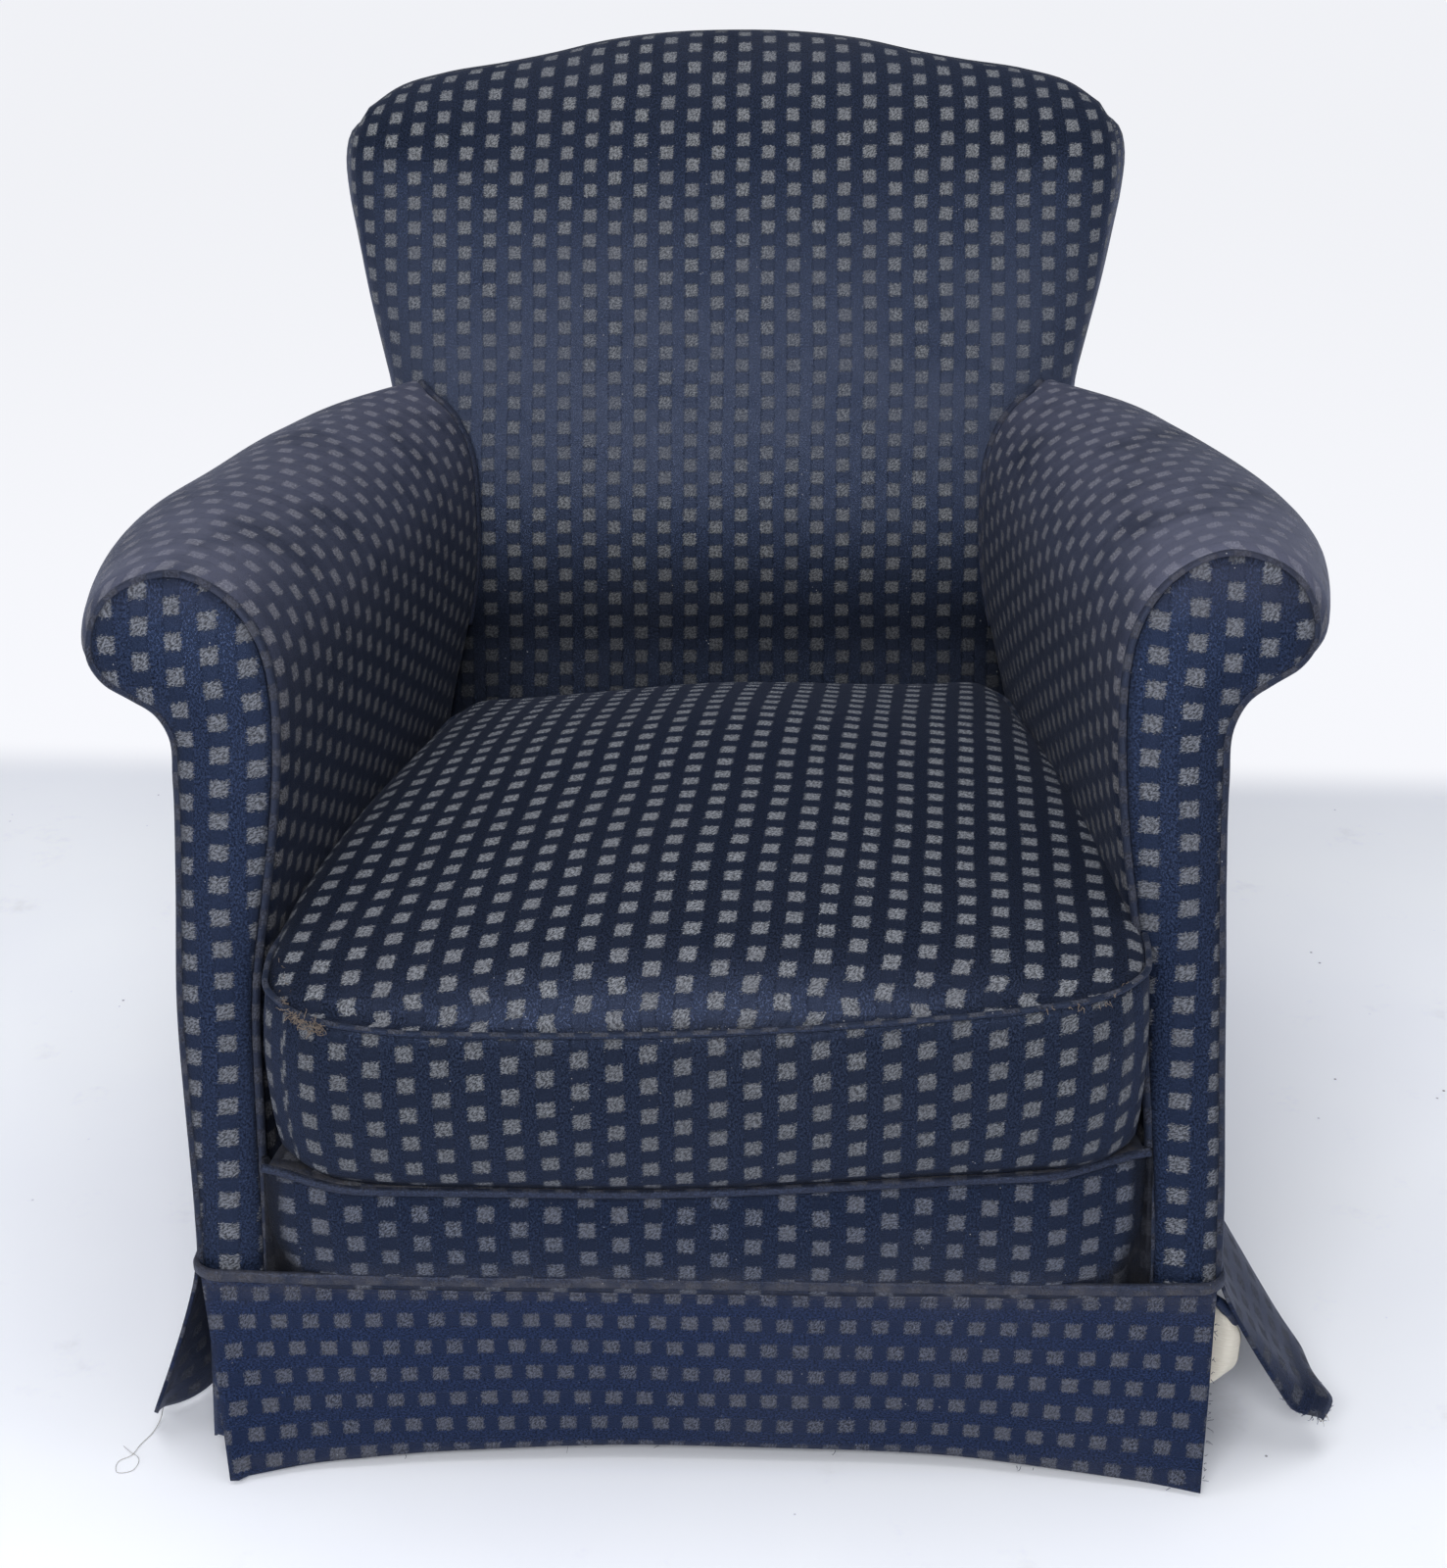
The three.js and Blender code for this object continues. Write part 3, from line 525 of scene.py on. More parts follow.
# the skirt's copy is darker still as painted shade, and dustier
SKIRT_CLOTH_SHADED = jacquard("jacquard_skirt_painted_shade", ground=(0.0095, 0.0180, 0.050), square=(0.062, 0.069, 0.096),
        dusty=0.8, shine=0.38, satin=0.95)
CALICO = plain_weave("calico", (0.84, 0.80, 0.71), (0.70, 0.65, 0.55))
WEBBING = plain_weave("webbing", (0.36, 0.26, 0.14), (0.16, 0.11, 0.06), 350.0)
THREAD_BROWN = plain_weave("frayed_brown", (0.24, 0.19, 0.15), (0.10, 0.08, 0.07), 500.0)
THREAD_NAVY = plain_weave("frayed_navy", (0.05, 0.06, 0.11), (0.015, 0.02, 0.045), 500.0)
THREAD_PALE = plain_weave("frayed_pale", (0.62, 0.60, 0.55), (0.34, 0.33, 0.32), 500.0)
WOOD = sawn_wood("sawn_beech")
STEEL = dull_steel("spring_wire")


def slot_of(node):
    return next(part["material_slot"] for part in frame["record"]["subparts"] if part["node"] == node)


def finish(piece, slot, material, *nodes):
    piece.data.materials.clear()
    piece.data.materials.append(material)
    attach(piece, "root")
    if nodes:
        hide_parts(*nodes)
    return piece


def make_piping(name, path, radius, sides, wear_and_sheen, node):
    """A welt: a closed cord along a path, in place of one CAD node."""
    points, cloth = tube(path, radius, sides)
    piece = build(name, [(points, cloth, {"wear_and_sheen": wear_and_sheen})])
    close_holes(piece)
    finish(piece, "navy_piping", PIPING, node)


# ---------------------------------------------------------------- the chair's guiding surfaces
def front_plane(z):
    return np.maximum(0, np.asarray(z, float) - SKIRT_TOP) * FRONT_RAKE


def back_plane(z):
    return 545 + (np.asarray(z, float) - 400) * BACK_RAKE


def rear_plane(z):
    return DEPTH + (np.asarray(z, float) - 100) * 0.143


def taper(y):
    return 1 - TAPER * np.asarray(y, float) / DEPTH


# Half of the back's outline, from the middle of the bottom to the middle of the crest.
BACK_SIDE = [(278, 262), (285, 300), (285, 420), (285, 520), (287, 570), (296, 606), (306, 644), (316, 690),
             (322, 722), (324, 750), (320, 774), (309, 792)]
BACK_TOP = [(309, 792), (287, 806), (248, 817), (195, 825), (155, 832), (112, 841), (62, 847), (0, 849),
            (-62, 847), (-112, 841), (-155, 832), (-195, 825), (-248, 817), (-287, 806), (-309, 792)]


def make_back():
    half = 30
    count = 2 * half
    t = np.linspace(-1, 1, count + 1)
    levels = np.sign(t) * (1 - (1 - np.abs(t)) ** 1.6)
    left = [(-x, z) for x, z in BACK_SIDE][::-1]
    share = (levels + 1) / 2

    sides = [spaced(points, share) for points in (
        [(-278, 262), (-150, 255), (0, 255), (150, 255), (278, 262)], BACK_SIDE, BACK_TOP, left)]
    loop = np.concatenate([s[:-1] for s in sides])
    normal = outward(loop)
    centre = np.array([0.0, 590.0])
    plan, r, at = disc(sides, centre, levels)
    top = np.clip(normal[:, 1], 0, 1) ** 2
    reach = 48 + 67 * top
    round_depth = 36 + 24 * top
    x, z = plan[..., 0], plan[..., 1]
    edge = around(loop, at)
    out = around(normal, at)
    inward = np.abs(np.sum((edge - plan) * out, axis=-1))
    reach_at, depth_at = around(reach, at), around(round_depth, at)
    near = np.clip(1 - inward / reach_at, 0, 1)
    drop = depth_at * (1 - np.sqrt(np.clip(1 - near ** 2, 0, 1)))
    crown = -7 * np.clip(1 - (x / 285) ** 2, 0, 1) * ramp(z, 250, 480) * (1 - ramp(z, 640, 800))
    soft = 1.3 * waves(x, z, 260, 3) * (1 - near)
    hollow = 15 * np.clip((505 - z) / 120, 0, 1) ** 2 * (1 - near)
    y = back_plane(z) + drop + crown + soft + hollow
    points = np.stack([x, y, z], axis=-1)
    # cloth wraps over the rim: its position runs on by the length of the curve
    samples = np.linspace(0, 1, 33)[:, None, None] * near
    inner = np.clip(1 - samples ** 2, 1e-4, 1)
    slope = depth_at * samples / np.sqrt(inner) / reach_at
    step = near * reach_at / 32
    extra = np.sum(np.sqrt(1 + slope ** 2) - 1, axis=0) * step
    cloth = np.stack([x + out[..., 0] * extra, z / math.cos(math.atan(BACK_RAKE)) + out[..., 1] * extra],
            axis=-1)
    wear_and_sheen = 0.12 * ramp(z, 760, 850) + 0.3 * near * ramp(z, 700, 830)
    # painted sheen: a broad band across the middle of the back is lifted towards the paler sheen colour, through
    # the wear attribute
    wear_and_sheen = wear_and_sheen + 0.85 * ramp(z, 430, 560) * (1 - ramp(z, 575, 800))
    dust = 0.05 * ramp(z, 800, 850)
    # painted shade: darker low on the back near the seat, and low down towards both sides
    painted_shade_low = 0.66 * (1 - ramp(z, 385, 500)) + 0.25 * (1 - ramp(z, 330, 560)) * ramp(np.abs(x), 150, 250)
    front = (points, cloth, {"wear_and_sheen": wear_and_sheen, "dust": dust, "shade": painted_shade_low})
    # the sides run back to the welt round the outside back
    edges = rim_of(points)
    marks = rim_of(cloth)
    out = around(normal, rim_of(at))
    top = np.clip(out[:, 1], 0, 1) ** 2
    wide = np.abs(out[:, 0]) ** 2
    rings, mark_rings = [], []
    stations = np.concatenate([np.linspace(0, 0.93, 9), [0.97, 0.99, 1.0]])
    for q in stations:
        grow = (12 * wide ** 2 - 5 * top - 52 * wide * top) * q + 4 * wide * math.sin(math.pi * q)
        grow = grow - 5 * ramp(q, 0.93, 1.0) * (1 - top * 0.5)
        px = edges[:, 0] + out[:, 0] * grow
        pz = edges[:, 2] + out[:, 1] * grow
        py = edges[:, 1] * (1 - q) + (rear_plane(pz) - 3.5) * q
        ring = np.stack([px, py, pz], axis=-1)
        far = 0 if not rings else np.linalg.norm(ring - rings[-1], axis=-1)
        mark_rings.append(marks if not rings else mark_rings[-1] + out * np.asarray(far)[:, None])
        rings.append(ring)
    close = lambda grid: np.concatenate([grid, grid[:, :1]], axis=1)
    band = (close(np.stack(rings)), close(np.stack(mark_rings)),
            {"wear_and_sheen": 0.25 * close(np.stack([ramp(g[:, 2], 700, 840) for g in rings]))})
    # flat rear, under the outside back
    last = rings[-1]
    loop_rear = last[:, [0, 2]]
    step = count
    rear_sides = [loop_rear[i * step:(i + 1) * step + 1] for i in range(3)]
    rear_sides.append(np.vstack([loop_rear[3 * step:], loop_rear[:1]]))
    plan, _, _ = disc(rear_sides, centre, levels)
    y = rear_plane(plan[..., 1]) - 3.5
    rear = (np.stack([plan[..., 0], y, plan[..., 1]], axis=-1), plan)
    piece = build("back_cushion", [front, band, rear])

    def held(p):
        deep = p[:, 1] - back_plane(p[:, 2])
        return np.maximum(0.15, np.maximum(ramp(deep, 8, 22), 1 - ramp(p[:, 2], 330, 430)))

    puff(piece, held, 1.6, 3.5)
    finish(piece, "navy_cloth", BACK_CLOTH_SHEEN, "back_pad")
    # the rear edge from the left foot of the back, over the crest, to the right foot
    return np.concatenate([last[step:], last[:1]])[::-1]


def make_outside_back(edge):
    base = (BASE_HALF - 2) * taper(700)
    left = [(-base, 0, SKIRT_TOP + 5), (-base + 1, 0, 215)]
    right = [(base - 1, 0, 215), (base, 0, SKIRT_TOP + 5)]
    path = [tuple(p) for p in edge[::3] if p[2] > 320]
    path = np.array(left + path + right)
    path[:, 1] = rear_plane(path[:, 2]) - 1.0
    line = trace(path, 360)
    make_piping("outside_back_piping", line, 3.6, 8, 0.3, "outside_back_welt")
    # the panel spans between matching points of the welt
    n = 180
    run = trace(line, 2 * n + 1)
    first, second = run[:n + 1], run[::-1][:n + 1]
    share = np.linspace(0.006, 0.994, 40)[None, :, None]
    panel = first[:, None] * (1 - share) + second[:, None] * share
    panel[..., 1] = rear_plane(panel[..., 2]) - 1.0 + 1.2 * waves(panel[..., 0], panel[..., 2], 300, 5)
    marks = np.stack([panel[..., 0], panel[..., 2]], axis=-1)
    cover = build("outside_back_panel", [(panel, marks, {"dust": 0.1 * (1 - ramp(panel[..., 2], 150, 300))})])
    thicken(cover, COVER)
    finish(cover, "navy_cloth", CLOTH, "outside_back")


def thicken(piece, thickness, offset=0, inside=None):
    """Gives a sheet its thickness. The copy nearer to the point called inside is darkened as painted shade on
    the inner face.
    """
    count = len(piece.data.vertices)
    layer = piece.modifiers.new("thickness", "SOLIDIFY")
    layer.thickness = thickness
    layer.offset = offset
    layer.use_even_offset = False
    shown = piece.evaluated_get(bpy.context.evaluated_depsgraph_get())
    mesh = bpy.data.meshes.new_from_object(shown)
    mesh.name = piece.name
    piece.modifiers.remove(layer)
    piece.data = mesh
    if inside is None:
        return
    places = np.empty(len(mesh.vertices) * 3, np.float32)
    mesh.vertices.foreach_get("co", places)
    far = np.linalg.norm(places.reshape(-1, 3) - world(inside), axis=1)
    pairs = np.stack([far[:count], far[count:2 * count]])
    shade = np.empty(len(mesh.vertices), np.float32)
    mesh.attributes["shade"].data.foreach_get("value", shade)
    lining = np.concatenate([pairs[0] < pairs[1], pairs[1] < pairs[0]])
    shade[:2 * count] = np.where(lining, 0.22, shade[:2 * count])
    mesh.attributes["shade"].data.foreach_set("value", shade)


BASE_HALF = 331

# ---------------------------------------------------------------- arms
# Outline of an arm from the seat, up its inner side, over the scroll and down to the base.
SCROLL = [(281, 145), (281, 200), (280, 261), (277, 335), (270, 385), (264, 430), (261, 480), (262, 512),
          (266, 534), (274, 552), (288, 569), (305, 580), (325, 586), (345, 583), (362, 575), (374, 563),
          (380, 548), (380, 532), (371, 518), (355, 508), (340, 498), (332, 484), (330, 455), (330, 400),
          (332, 320), (331, 240), (329, 145)]


def lean(side, x, z, v):
    """The left arm has dropped outwards; the right one stands a little in and up."""
    loose = np.clip(1 - v, 0, 1)
    x = x - side * 5.5 * ramp(z, 160, 330) * loose
    z = z + side * 6.5 * ramp(z, 430, 530) * loose
    return x, z


def arm_shift(x, z, v):
    """How far the arm lies inside its front outline, v of the way back."""
    across = np.clip((x - 261) / 119, 0, 1)
    inner = flow(z, [(200, 47), (300, 47), (430, 54), (580, 54)]) * np.clip(v, 0, 2) ** 1.2
    panel = BASE_HALF * TAPER * v
    scroll = flow(v, [(0, -2), (0.04, -9), (0.1, -16), (0.25, -27), (0.42, -24), (0.6, -8), (0.75, 11),
            (0.87, 31), (0.94, 55), (1.0, 78), (1.08, 96)])
    outer = panel + (scroll - panel) * ramp(z, 486, 516)
    return inner + (outer - inner) * across


def arm_place(side, x, z, y_front, y_rear, w):
    """Positions w of the way between two surfaces y(z) through an arm."""
    y = y_front(z) * (1 - w) + y_rear(z) * w
    v = (y - front_plane(z)) / (back_plane(z) - front_plane(z))
    lx, lz = lean(side, x - arm_shift(x, z, v), z, v)
    y = y_front(lz) * (1 - w) + y_rear(lz) * w
    return np.stack(np.broadcast_arrays(side * lx, y, lz), axis=-1)


def inward_normals(line):
    along = np.gradient(line, axis=0)
    along /= np.linalg.norm(along, axis=1)[:, None]
    return np.stack([along[:, 1], -along[:, 0]], axis=1)


def make_arm(side):
    word = "right" if side > 0 else "left"
    outline = trace(SCROLL, 900)
    neck = int(np.argmin(np.hypot(outline[:, 0] - 332, outline[:, 1] - 482)))
    start = int(np.argmin(np.abs(outline[:450, 1] - 205)))
    upper = trace(outline[start:neck + 1:6], 150)
    normals = inward_normals(upper)
    steps = np.concatenate([[0, 0.006, 0.014, 0.024, 0.038], np.linspace(0.06, 0.95, 40),
            [0.968, 0.982, 0.992, 1.0]])
    long = 470
    grid = []
    for w in steps:
        at_front = np.clip(1 - w * long / 12, 0, 1)
        at_rear = np.clip(1 - (1 - w) * long / 16, 0, 1)
        inset = 7 * (1 - np.sqrt(1 - at_front ** 2)) + 12 * (1 - np.sqrt(1 - at_rear ** 2))
        swell = 3.0 * math.sin(math.pi * min(1, w * 1.02)) ** 0.6
        ring = upper + normals * (inset - swell)
        outer = ramp(ring[:, 0], 300, 360) * ramp(ring[:, 1], 480, 520)
        y_rear = lambda z, outer=outer: back_plane(z) - 8 + 44 * outer + 16 * (1 - ramp(z, 400, 520))
        grid.append(arm_place(side, ring[:, 0], ring[:, 1], lambda z: front_plane(z) + 9.5, y_rear, w))
    grid = np.stack(grid)
    soft = waves(grid[..., 1], grid[..., 2] + grid[..., 0], 150, 11 + side)
    amount = np.sin(np.pi * steps)[:, None] * 1.2
    grid[..., 2] += soft * amount
    v = lengths(grid, 1)
    v = v - v[:, :1]
    u = lengths(grid, 0)
    cloth = np.stack([side * u, v], axis=-1)
    height = grid[..., 2]
    top = ramp(height, 545, 585)
    front = 1 - ramp(steps, 0.0, 0.35)[:, None]
    # wear on the arm tops and fronts; the upper half of the arm is also lifted as painted sheen
    wear_and_sheen = 0.44 * ramp(height, 440, 570) + top * (0.30 + 0.40 * np.broadcast_to(front, top.shape))
    dust = 0.05 * top
    hidden = []
    for ring in grid:
        a, b = ring[-1], ring[0]
        corner = np.array([a[0] * 0.3 + b[0] * 0.7, a[1], a[2]])
        line = np.concatenate([np.linspace(a, corner, 6), np.linspace(corner, b, 14)[1:]])
        hidden.append(line)
    hidden = np.stack(hidden)
    # painted shade on the inner side, near its front edge and low down beside the seat
    deep = 0.85 * np.exp(-((u / 14) ** 2)) * (1 - ramp(height, 260, 420)) * ramp(v[:, -1:] - v, 60, 120)
    cover = (grid, cloth, {"wear_and_sheen": wear_and_sheen, "dust": dust, "shade": deep})
    lining = (hidden, np.stack([hidden[..., 1], hidden[..., 2]], axis=-1))
    piece = build(f"arm_cushion_{word}", [cover, lining])
    close_holes(piece)
    finish(piece, "navy_cloth", ARM_CLOTH_SHEEN, f"arm_pad_{word}")
    make_facing(side, word, outline)
    make_outside_arm(side, word)
    return grid


def make_facing(side, word, outline):
    top = int(np.argmax(outline[:, 1]))
    rows = 90
    inner = trace(outline[:top + 1:5], rows)
    outer = trace(outline[top:][::-1][::5], rows)
    inner_in = inner + inward_normals(inner) * 7.5
    outer_in = outer - inward_normals(outer) * 7.5
    inner_in[-1] = outer_in[-1] = (inner[-1] + outer[-1]) / 2 - np.array([0, 7.5])
    columns = np.linspace(0, 1, 17)
    share = (1 - np.cos(np.pi * columns)) / 2
    flat = inner_in[:, None] * (1 - share[None, :, None]) + outer_in[:, None] * share[None, :, None]
    wide = np.linalg.norm(outer_in - inner_in, axis=1)[:, None]
    edge = np.minimum(share, 1 - share)[None, :] * wide
    edge = np.minimum(edge, (586 - 7.5 - flat[..., 1]).clip(0) * 0.9 + 0.01)
    puffed = 4.2 * (1 - np.exp(-edge / 7)) + 5.5 * (1 - np.exp(-((edge / 30) ** 2)))
    x, z = flat[..., 0], flat[..., 1]
    lx, lz = lean(side, x - arm_shift(x, z, 0.0), z, 0.0)
    y = front_plane(lz) + 6 - puffed + 0.8 * waves(lx, lz, 90, 21 + side)
    points = np.stack([side * lx, y, lz], axis=-1)
    tilt = math.radians(-4 if side < 0 else 3) * ramp(lz, 420, 520)
    across = side * (lx - 315) + (6 if side > 0 else 0)
    up = (lz - 500) / math.cos(math.radians(17))
    cloth = np.stack([across * np.cos(tilt) - up * np.sin(tilt), across * np.sin(tilt) + up * np.cos(tilt)],
            axis=-1)
    # painted shade along the edges of the front, beside the piping
    piece = build(f"arm_front_{word}", [(points, cloth,
            {"wear_and_sheen": 0.35 * ramp(lz, 540, 580), "shade": 0.75 * np.exp(-edge / 1.6)})])
    thicken(piece, 0.006, 1)
    finish(piece, "navy_cloth", FACING_CLOTH_SHADED, f"arm_facing_{word}")
    # piping round the edge of the front
    run = trace(outline[::6], 300)
    run = run + inward_normals(run) * 3.3
    rx, rz = lean(side, run[:, 0] - arm_shift(run[:, 0], run[:, 1], 0.0), run[:, 1], 0.0)
    path = np.stack([side * rx, front_plane(rz) + 4.2, rz], axis=-1)
    wear_and_sheen = 0.25 + 0.5 * ramp(rz, 540, 585)[:, None]
    make_piping(f"arm_front_piping_{word}", path, 3.5, 10, wear_and_sheen, f"arm_facing_welt_{word}")


def make_arm_back_welt(word, grid):
    """Piping in the join between an arm and the inside back."""
    rear = grid[-3]
    path = trace(rear[rear[:, 2] > 395][::3], 120)
    path[:, 1] += 6
    make_piping(f"arm_back_piping_{word}", path, 3.4, 8, 0.4, f"arm_back_welt_{word}")


def make_outside_arm(side, word):
    rows = np.linspace(153, 486, 24)
    share = np.linspace(0, 1, 60)
    z, w = np.meshgrid(rows, share, indexing="ij")
    y = (front_plane(z) + 9) * (1 - w) + (rear_plane(z) - 6) * w
    v = (y - front_plane(z)) / (back_plane(z) - front_plane(z))
    x = np.interp(z, [157, 240, 320, 400, 455, 484],
            [329, 331, 332, 330, 330, 332]) - BASE_HALF * TAPER * y / DEPTH
    lx, lz = lean(side, x, z, np.clip(v, 0, 1))
    lx = lx - 1.5 + 1.0 * waves(y, z, 240, 31 + side)
    points = np.stack([side * lx, y, lz], axis=-1)
    cloth = np.stack([y * side, z], axis=-1)
    # its top edge turns in under the scroll
    turned = [points[-1] + np.array([-side * inward, 0, up]) for inward, up in ((3, 1.5), (12, 2.5), (30, 3))]
    points = np.concatenate([points, np.stack(turned)])
    cloth = np.concatenate([cloth, np.stack([cloth[-1] + np.array([0, inward]) for inward in (3, 12, 30)])])
    z = np.concatenate([z, z[-1:], z[-1:], z[-1:]])
    piece = build(f"outside_arm_cover_{word}", [(points, cloth, {"dust": 0.08 * (1 - ramp(z, 150, 240))})])
    thicken(piece, COVER)
    finish(piece, "navy_cloth", CLOTH, f"outside_arm_{word}")


# ---------------------------------------------------------------- seat
def platform_top(x):
    """Height of the platform's front edge: level on the left, higher to the right, turned up at both arms."""
    return 220 + 8 * ramp(-x, 205, 290) + 18 * ramp(x, -70, 275)


def seam_height(x):
    """Height of the cushion's top front seam: it sags most left of the middle and rises more to the right."""
    left = np.clip((-x - 130) / 142, 0, None)
    right = np.clip((x + 130) / 402, 0, None)
    return 334 + 16 * left ** 3 + 31 * right ** 2


def make_cushion():
    half = 30
    t = np.linspace(-1, 1, 2 * half + 1)
    levels = np.sign(t) * (1 - (1 - np.abs(t)) ** 1.5)
    share = (levels + 1) / 2
    right = [(252, 3), (267, 18), (273, 46), (272, 100), (268, 180), (258, 270), (246, 350), (233, 430),
            (221, 490), (205, 514)]
    bottom = [(-252, 3), (-240, -3), (-205, -8), (-120, -10), (0, -11), (120, -10), (205, -8), (240, -3),
            (252, 3)]
    top = [(205, 514), (185, 523), (100, 526), (0, 527), (-100, 526), (-185, 523), (-205, 514)]

    left = [(-x, y) for x, y in right][::-1]
    sides = [spaced(points, share) for points in (bottom, right, top, left)]
    loop = np.concatenate([s[:-1] for s in sides])
    normal = outward(loop)
    centre = np.array([0.0, 255.0])
    plan, r, at = disc(sides, centre, levels)
    x, y = plan[..., 0], plan[..., 1]
    d_front = np.clip(y - (-11 + 0.00028 * x ** 2), 0, None)
    d_rear = np.clip(527 - y, 0, None)
    wide = flow(y, [(-11, 262), (52, 271), (180, 269), (350, 247), (527, 214)])
    shoulder = np.clip(np.abs(x) / wide, 0, 1)
    f_front = 1 - 0.52 * np.exp(-d_front / 16) - 0.48 * (1 - np.clip(d_front / 290, 0, 1)) ** 2
    f_side = 1 - 0.66 * (((shoulder ** 2 + 0.03) ** 0.8) - 0.03 ** 0.8)
    f_side = f_side - 0.34 * np.exp(-(1 - shoulder) * wide / 10)
    f_rear = 1 - 0.4 * np.exp(-d_rear / 20) - 0.6 * (1 - np.clip(d_rear / 260, 0, 1)) ** 2.2
    form = np.clip(f_front, 0, 1) * np.clip(f_side, 0, 1) * np.clip(f_rear, 0, 1)
    seam = seam_height(x)
    crown = 406 + 0.012 * x
    z = seam + (crown - seam) * form
    z = z - 7 * np.clip(1 - (x / 210) ** 2, 0, 1) * ramp(y, 330, 500) * (1 - r ** 8)
    z = z + 1.6 * waves(x, y, 170, 41) * (1 - r ** 6)
    z = z - 2.5 * np.exp(-(((x + 60) / 120) ** 2 + ((y - 250) / 90) ** 2))
    z = np.where(r >= 1, seam, z)
    points = np.stack([x, y, z], axis=-1)
    u, v = surface_marks(x, y, z, centre)
    slant = math.tan(math.radians(4.2))
    top_cloth = np.stack([u - v * slant, v + u * 0.02], axis=-1)
    wear_and_sheen = 0.12 * (1 - ramp(y, 40, 160))
    # painted shade along the top seam, at the rim of the top
    top = (points, top_cloth, {"wear_and_sheen": wear_and_sheen, "shade": 0.7 * ramp(r, 0.988, 1.0)})
    # boxing: from the seam down to the platform, fullest half way
    edges = rim_of(points)
    out = around(normal, rim_of(at))
    floor = platform_top(edges[:, 0]) + 3
    rings = []
    heights = np.concatenate([[0, 0.012, 0.035, 0.07], np.linspace(0.12, 0.88, 14), [0.93, 0.965, 0.988, 1.0]])
    facing = np.clip(-out[:, 1], 0, 1)
    for h in heights:
        fullness = (2.5 + 7 * facing) * (1 - abs(2 * h - 1) ** 2.4) ** 0.8
        sink = -1.8 * np.exp(-((h / 0.02) ** 2)) - 3 * ramp(h, 0.93, 1.0)
        ring_x = edges[:, 0] + out[:, 0] * (
            fullness + sink
            + 1.2 * waves(edges[:, 0] + edges[:, 1], h * 110, 130, 43) * math.sin(math.pi * h))
        ring_y = edges[:, 1] + out[:, 1] * (
            fullness + sink
            + 1.2 * waves(edges[:, 0] - edges[:, 1], h * 110, 110, 44) * math.sin(math.pi * h))
        rings.append(np.stack([ring_x, ring_y, edges[:, 2] * (1 - h) + floor * h], axis=-1))
    rings = np.stack(rings)
    rings = np.concatenate([rings, rings[:, :1]], axis=1)
    far = np.concatenate([[0], np.cumsum(np.linalg.norm(np.diff(rings[10], axis=0), axis=1))])
    far = far - far[half]
    drop = -lengths(rings, 0)
    skew = math.tan(math.radians(4.5))
    marks = np.stack(np.broadcast_arrays(far[None, :], drop - far[None, :] * skew), axis=-1)
    h = heights[:, None]
    # painted shade in the seam grooves at the top and bottom of the boxing, and a lighter painted shade over all
    # of it
    painted_groove_shade = 0.7 * np.exp(-((h / 0.022) ** 2)) + 0.8 * np.exp(-(((1 - h) / 0.03) ** 2))
    boxing = (rings, marks, {"shade": np.broadcast_to(np.maximum(painted_groove_shade, 0.27), rings.shape[:2])})
    base_loop = rings[-1][:-1]
    step = 2 * half
    base_sides = [base_loop[i * step:(i + 1) * step + 1, :2] for i in range(3)]
    base_sides.append(np.vstack([base_loop[3 * step:, :2], base_loop[:1, :2]]))
    plan, _, at = disc(base_sides, centre, levels)
    base_z = around(base_loop, at)[..., 2]
    under = (np.stack([plan[..., 0], plan[..., 1], base_z], axis=-1), plan)
    piece = build("seat_cushion_cover", [top, boxing, under])

    def held(p):
        near_seam = np.exp(-((p[:, 2] - seam_height(p[:, 0])) / 5) ** 2) * (np.abs(p[:, 0]) > 0)
        low = 1 - ramp(p[:, 2], 236, 262)
        rear = 0.75 * ramp(p[:, 1], 300, 470)
        return np.maximum(0.12 + rear, np.maximum(low, near_seam * (p[:, 1] < 10)))

    puff(piece, held, 2.0, 3.5)
    finish(piece, "navy_cloth", CLOTH, "seat_cushion")
    # piping on the two seams
    for name, line, radius, off, node, wear_and_sheen in (
            ("cushion_piping_top", np.vstack([edges, edges[:1]]), 2.1, 0.4, "cushion_welt_top", 0.1),
            ("cushion_piping_bottom", rings[-1], 2.2, -2.5, "cushion_welt_bottom", 0.2)):
        shift = np.concatenate([out, out[:1]])
        path = np.array(line, float)
        path[:, 0] += shift[:, 0] * off
        path[:, 1] += shift[:, 1] * off
        path = trace(path[::3], 420, False)
        make_piping(name, path, radius, 8, wear_and_sheen, node)


def surface_marks(x, y, z, centre):
    """Cloth position on a surface of heights: distance along it from the middle, both ways."""
    size = 4.0
    xs = np.arange(x.min() - size, x.max() + 2 * size, size)
    ys = np.arange(y.min() - size, y.max() + 2 * size, size)
    gx, gy = np.meshgrid(xs, ys, indexing="ij")
    heights = spread(x, y, z, gx, gy)
    du = np.sqrt(size ** 2 + np.diff(heights, axis=0) ** 2)
    dv = np.sqrt(size ** 2 + np.diff(heights, axis=1) ** 2)
    u = np.vstack([np.zeros((1, len(ys))), np.cumsum(du, axis=0)])
    v = np.hstack([np.zeros((len(xs), 1)), np.cumsum(dv, axis=1)])
    u -= u[int(np.argmin(np.abs(xs - centre[0])))][None, :]
    v -= v[:, int(np.argmin(np.abs(ys - centre[1])))][:, None]
    return read(xs, ys, u, x, y), read(xs, ys, v, x, y)


def spread(x, y, z, gx, gy):
    """Heights of scattered points on a regular grid, by nearness."""
    out = np.empty(gx.shape)
    flat = np.stack([x.ravel(), y.ravel()], axis=1)
    values = z.ravel()
    for i in range(gx.shape[0]):
        d2 = (gx[i][:, None] - flat[None, :, 0]) ** 2 + (gy[i][:, None] - flat[None, :, 1]) ** 2
        weight = 1 / (d2 + 4) ** 2
        out[i] = (weight * values).sum(axis=1) / weight.sum(axis=1)
    return out


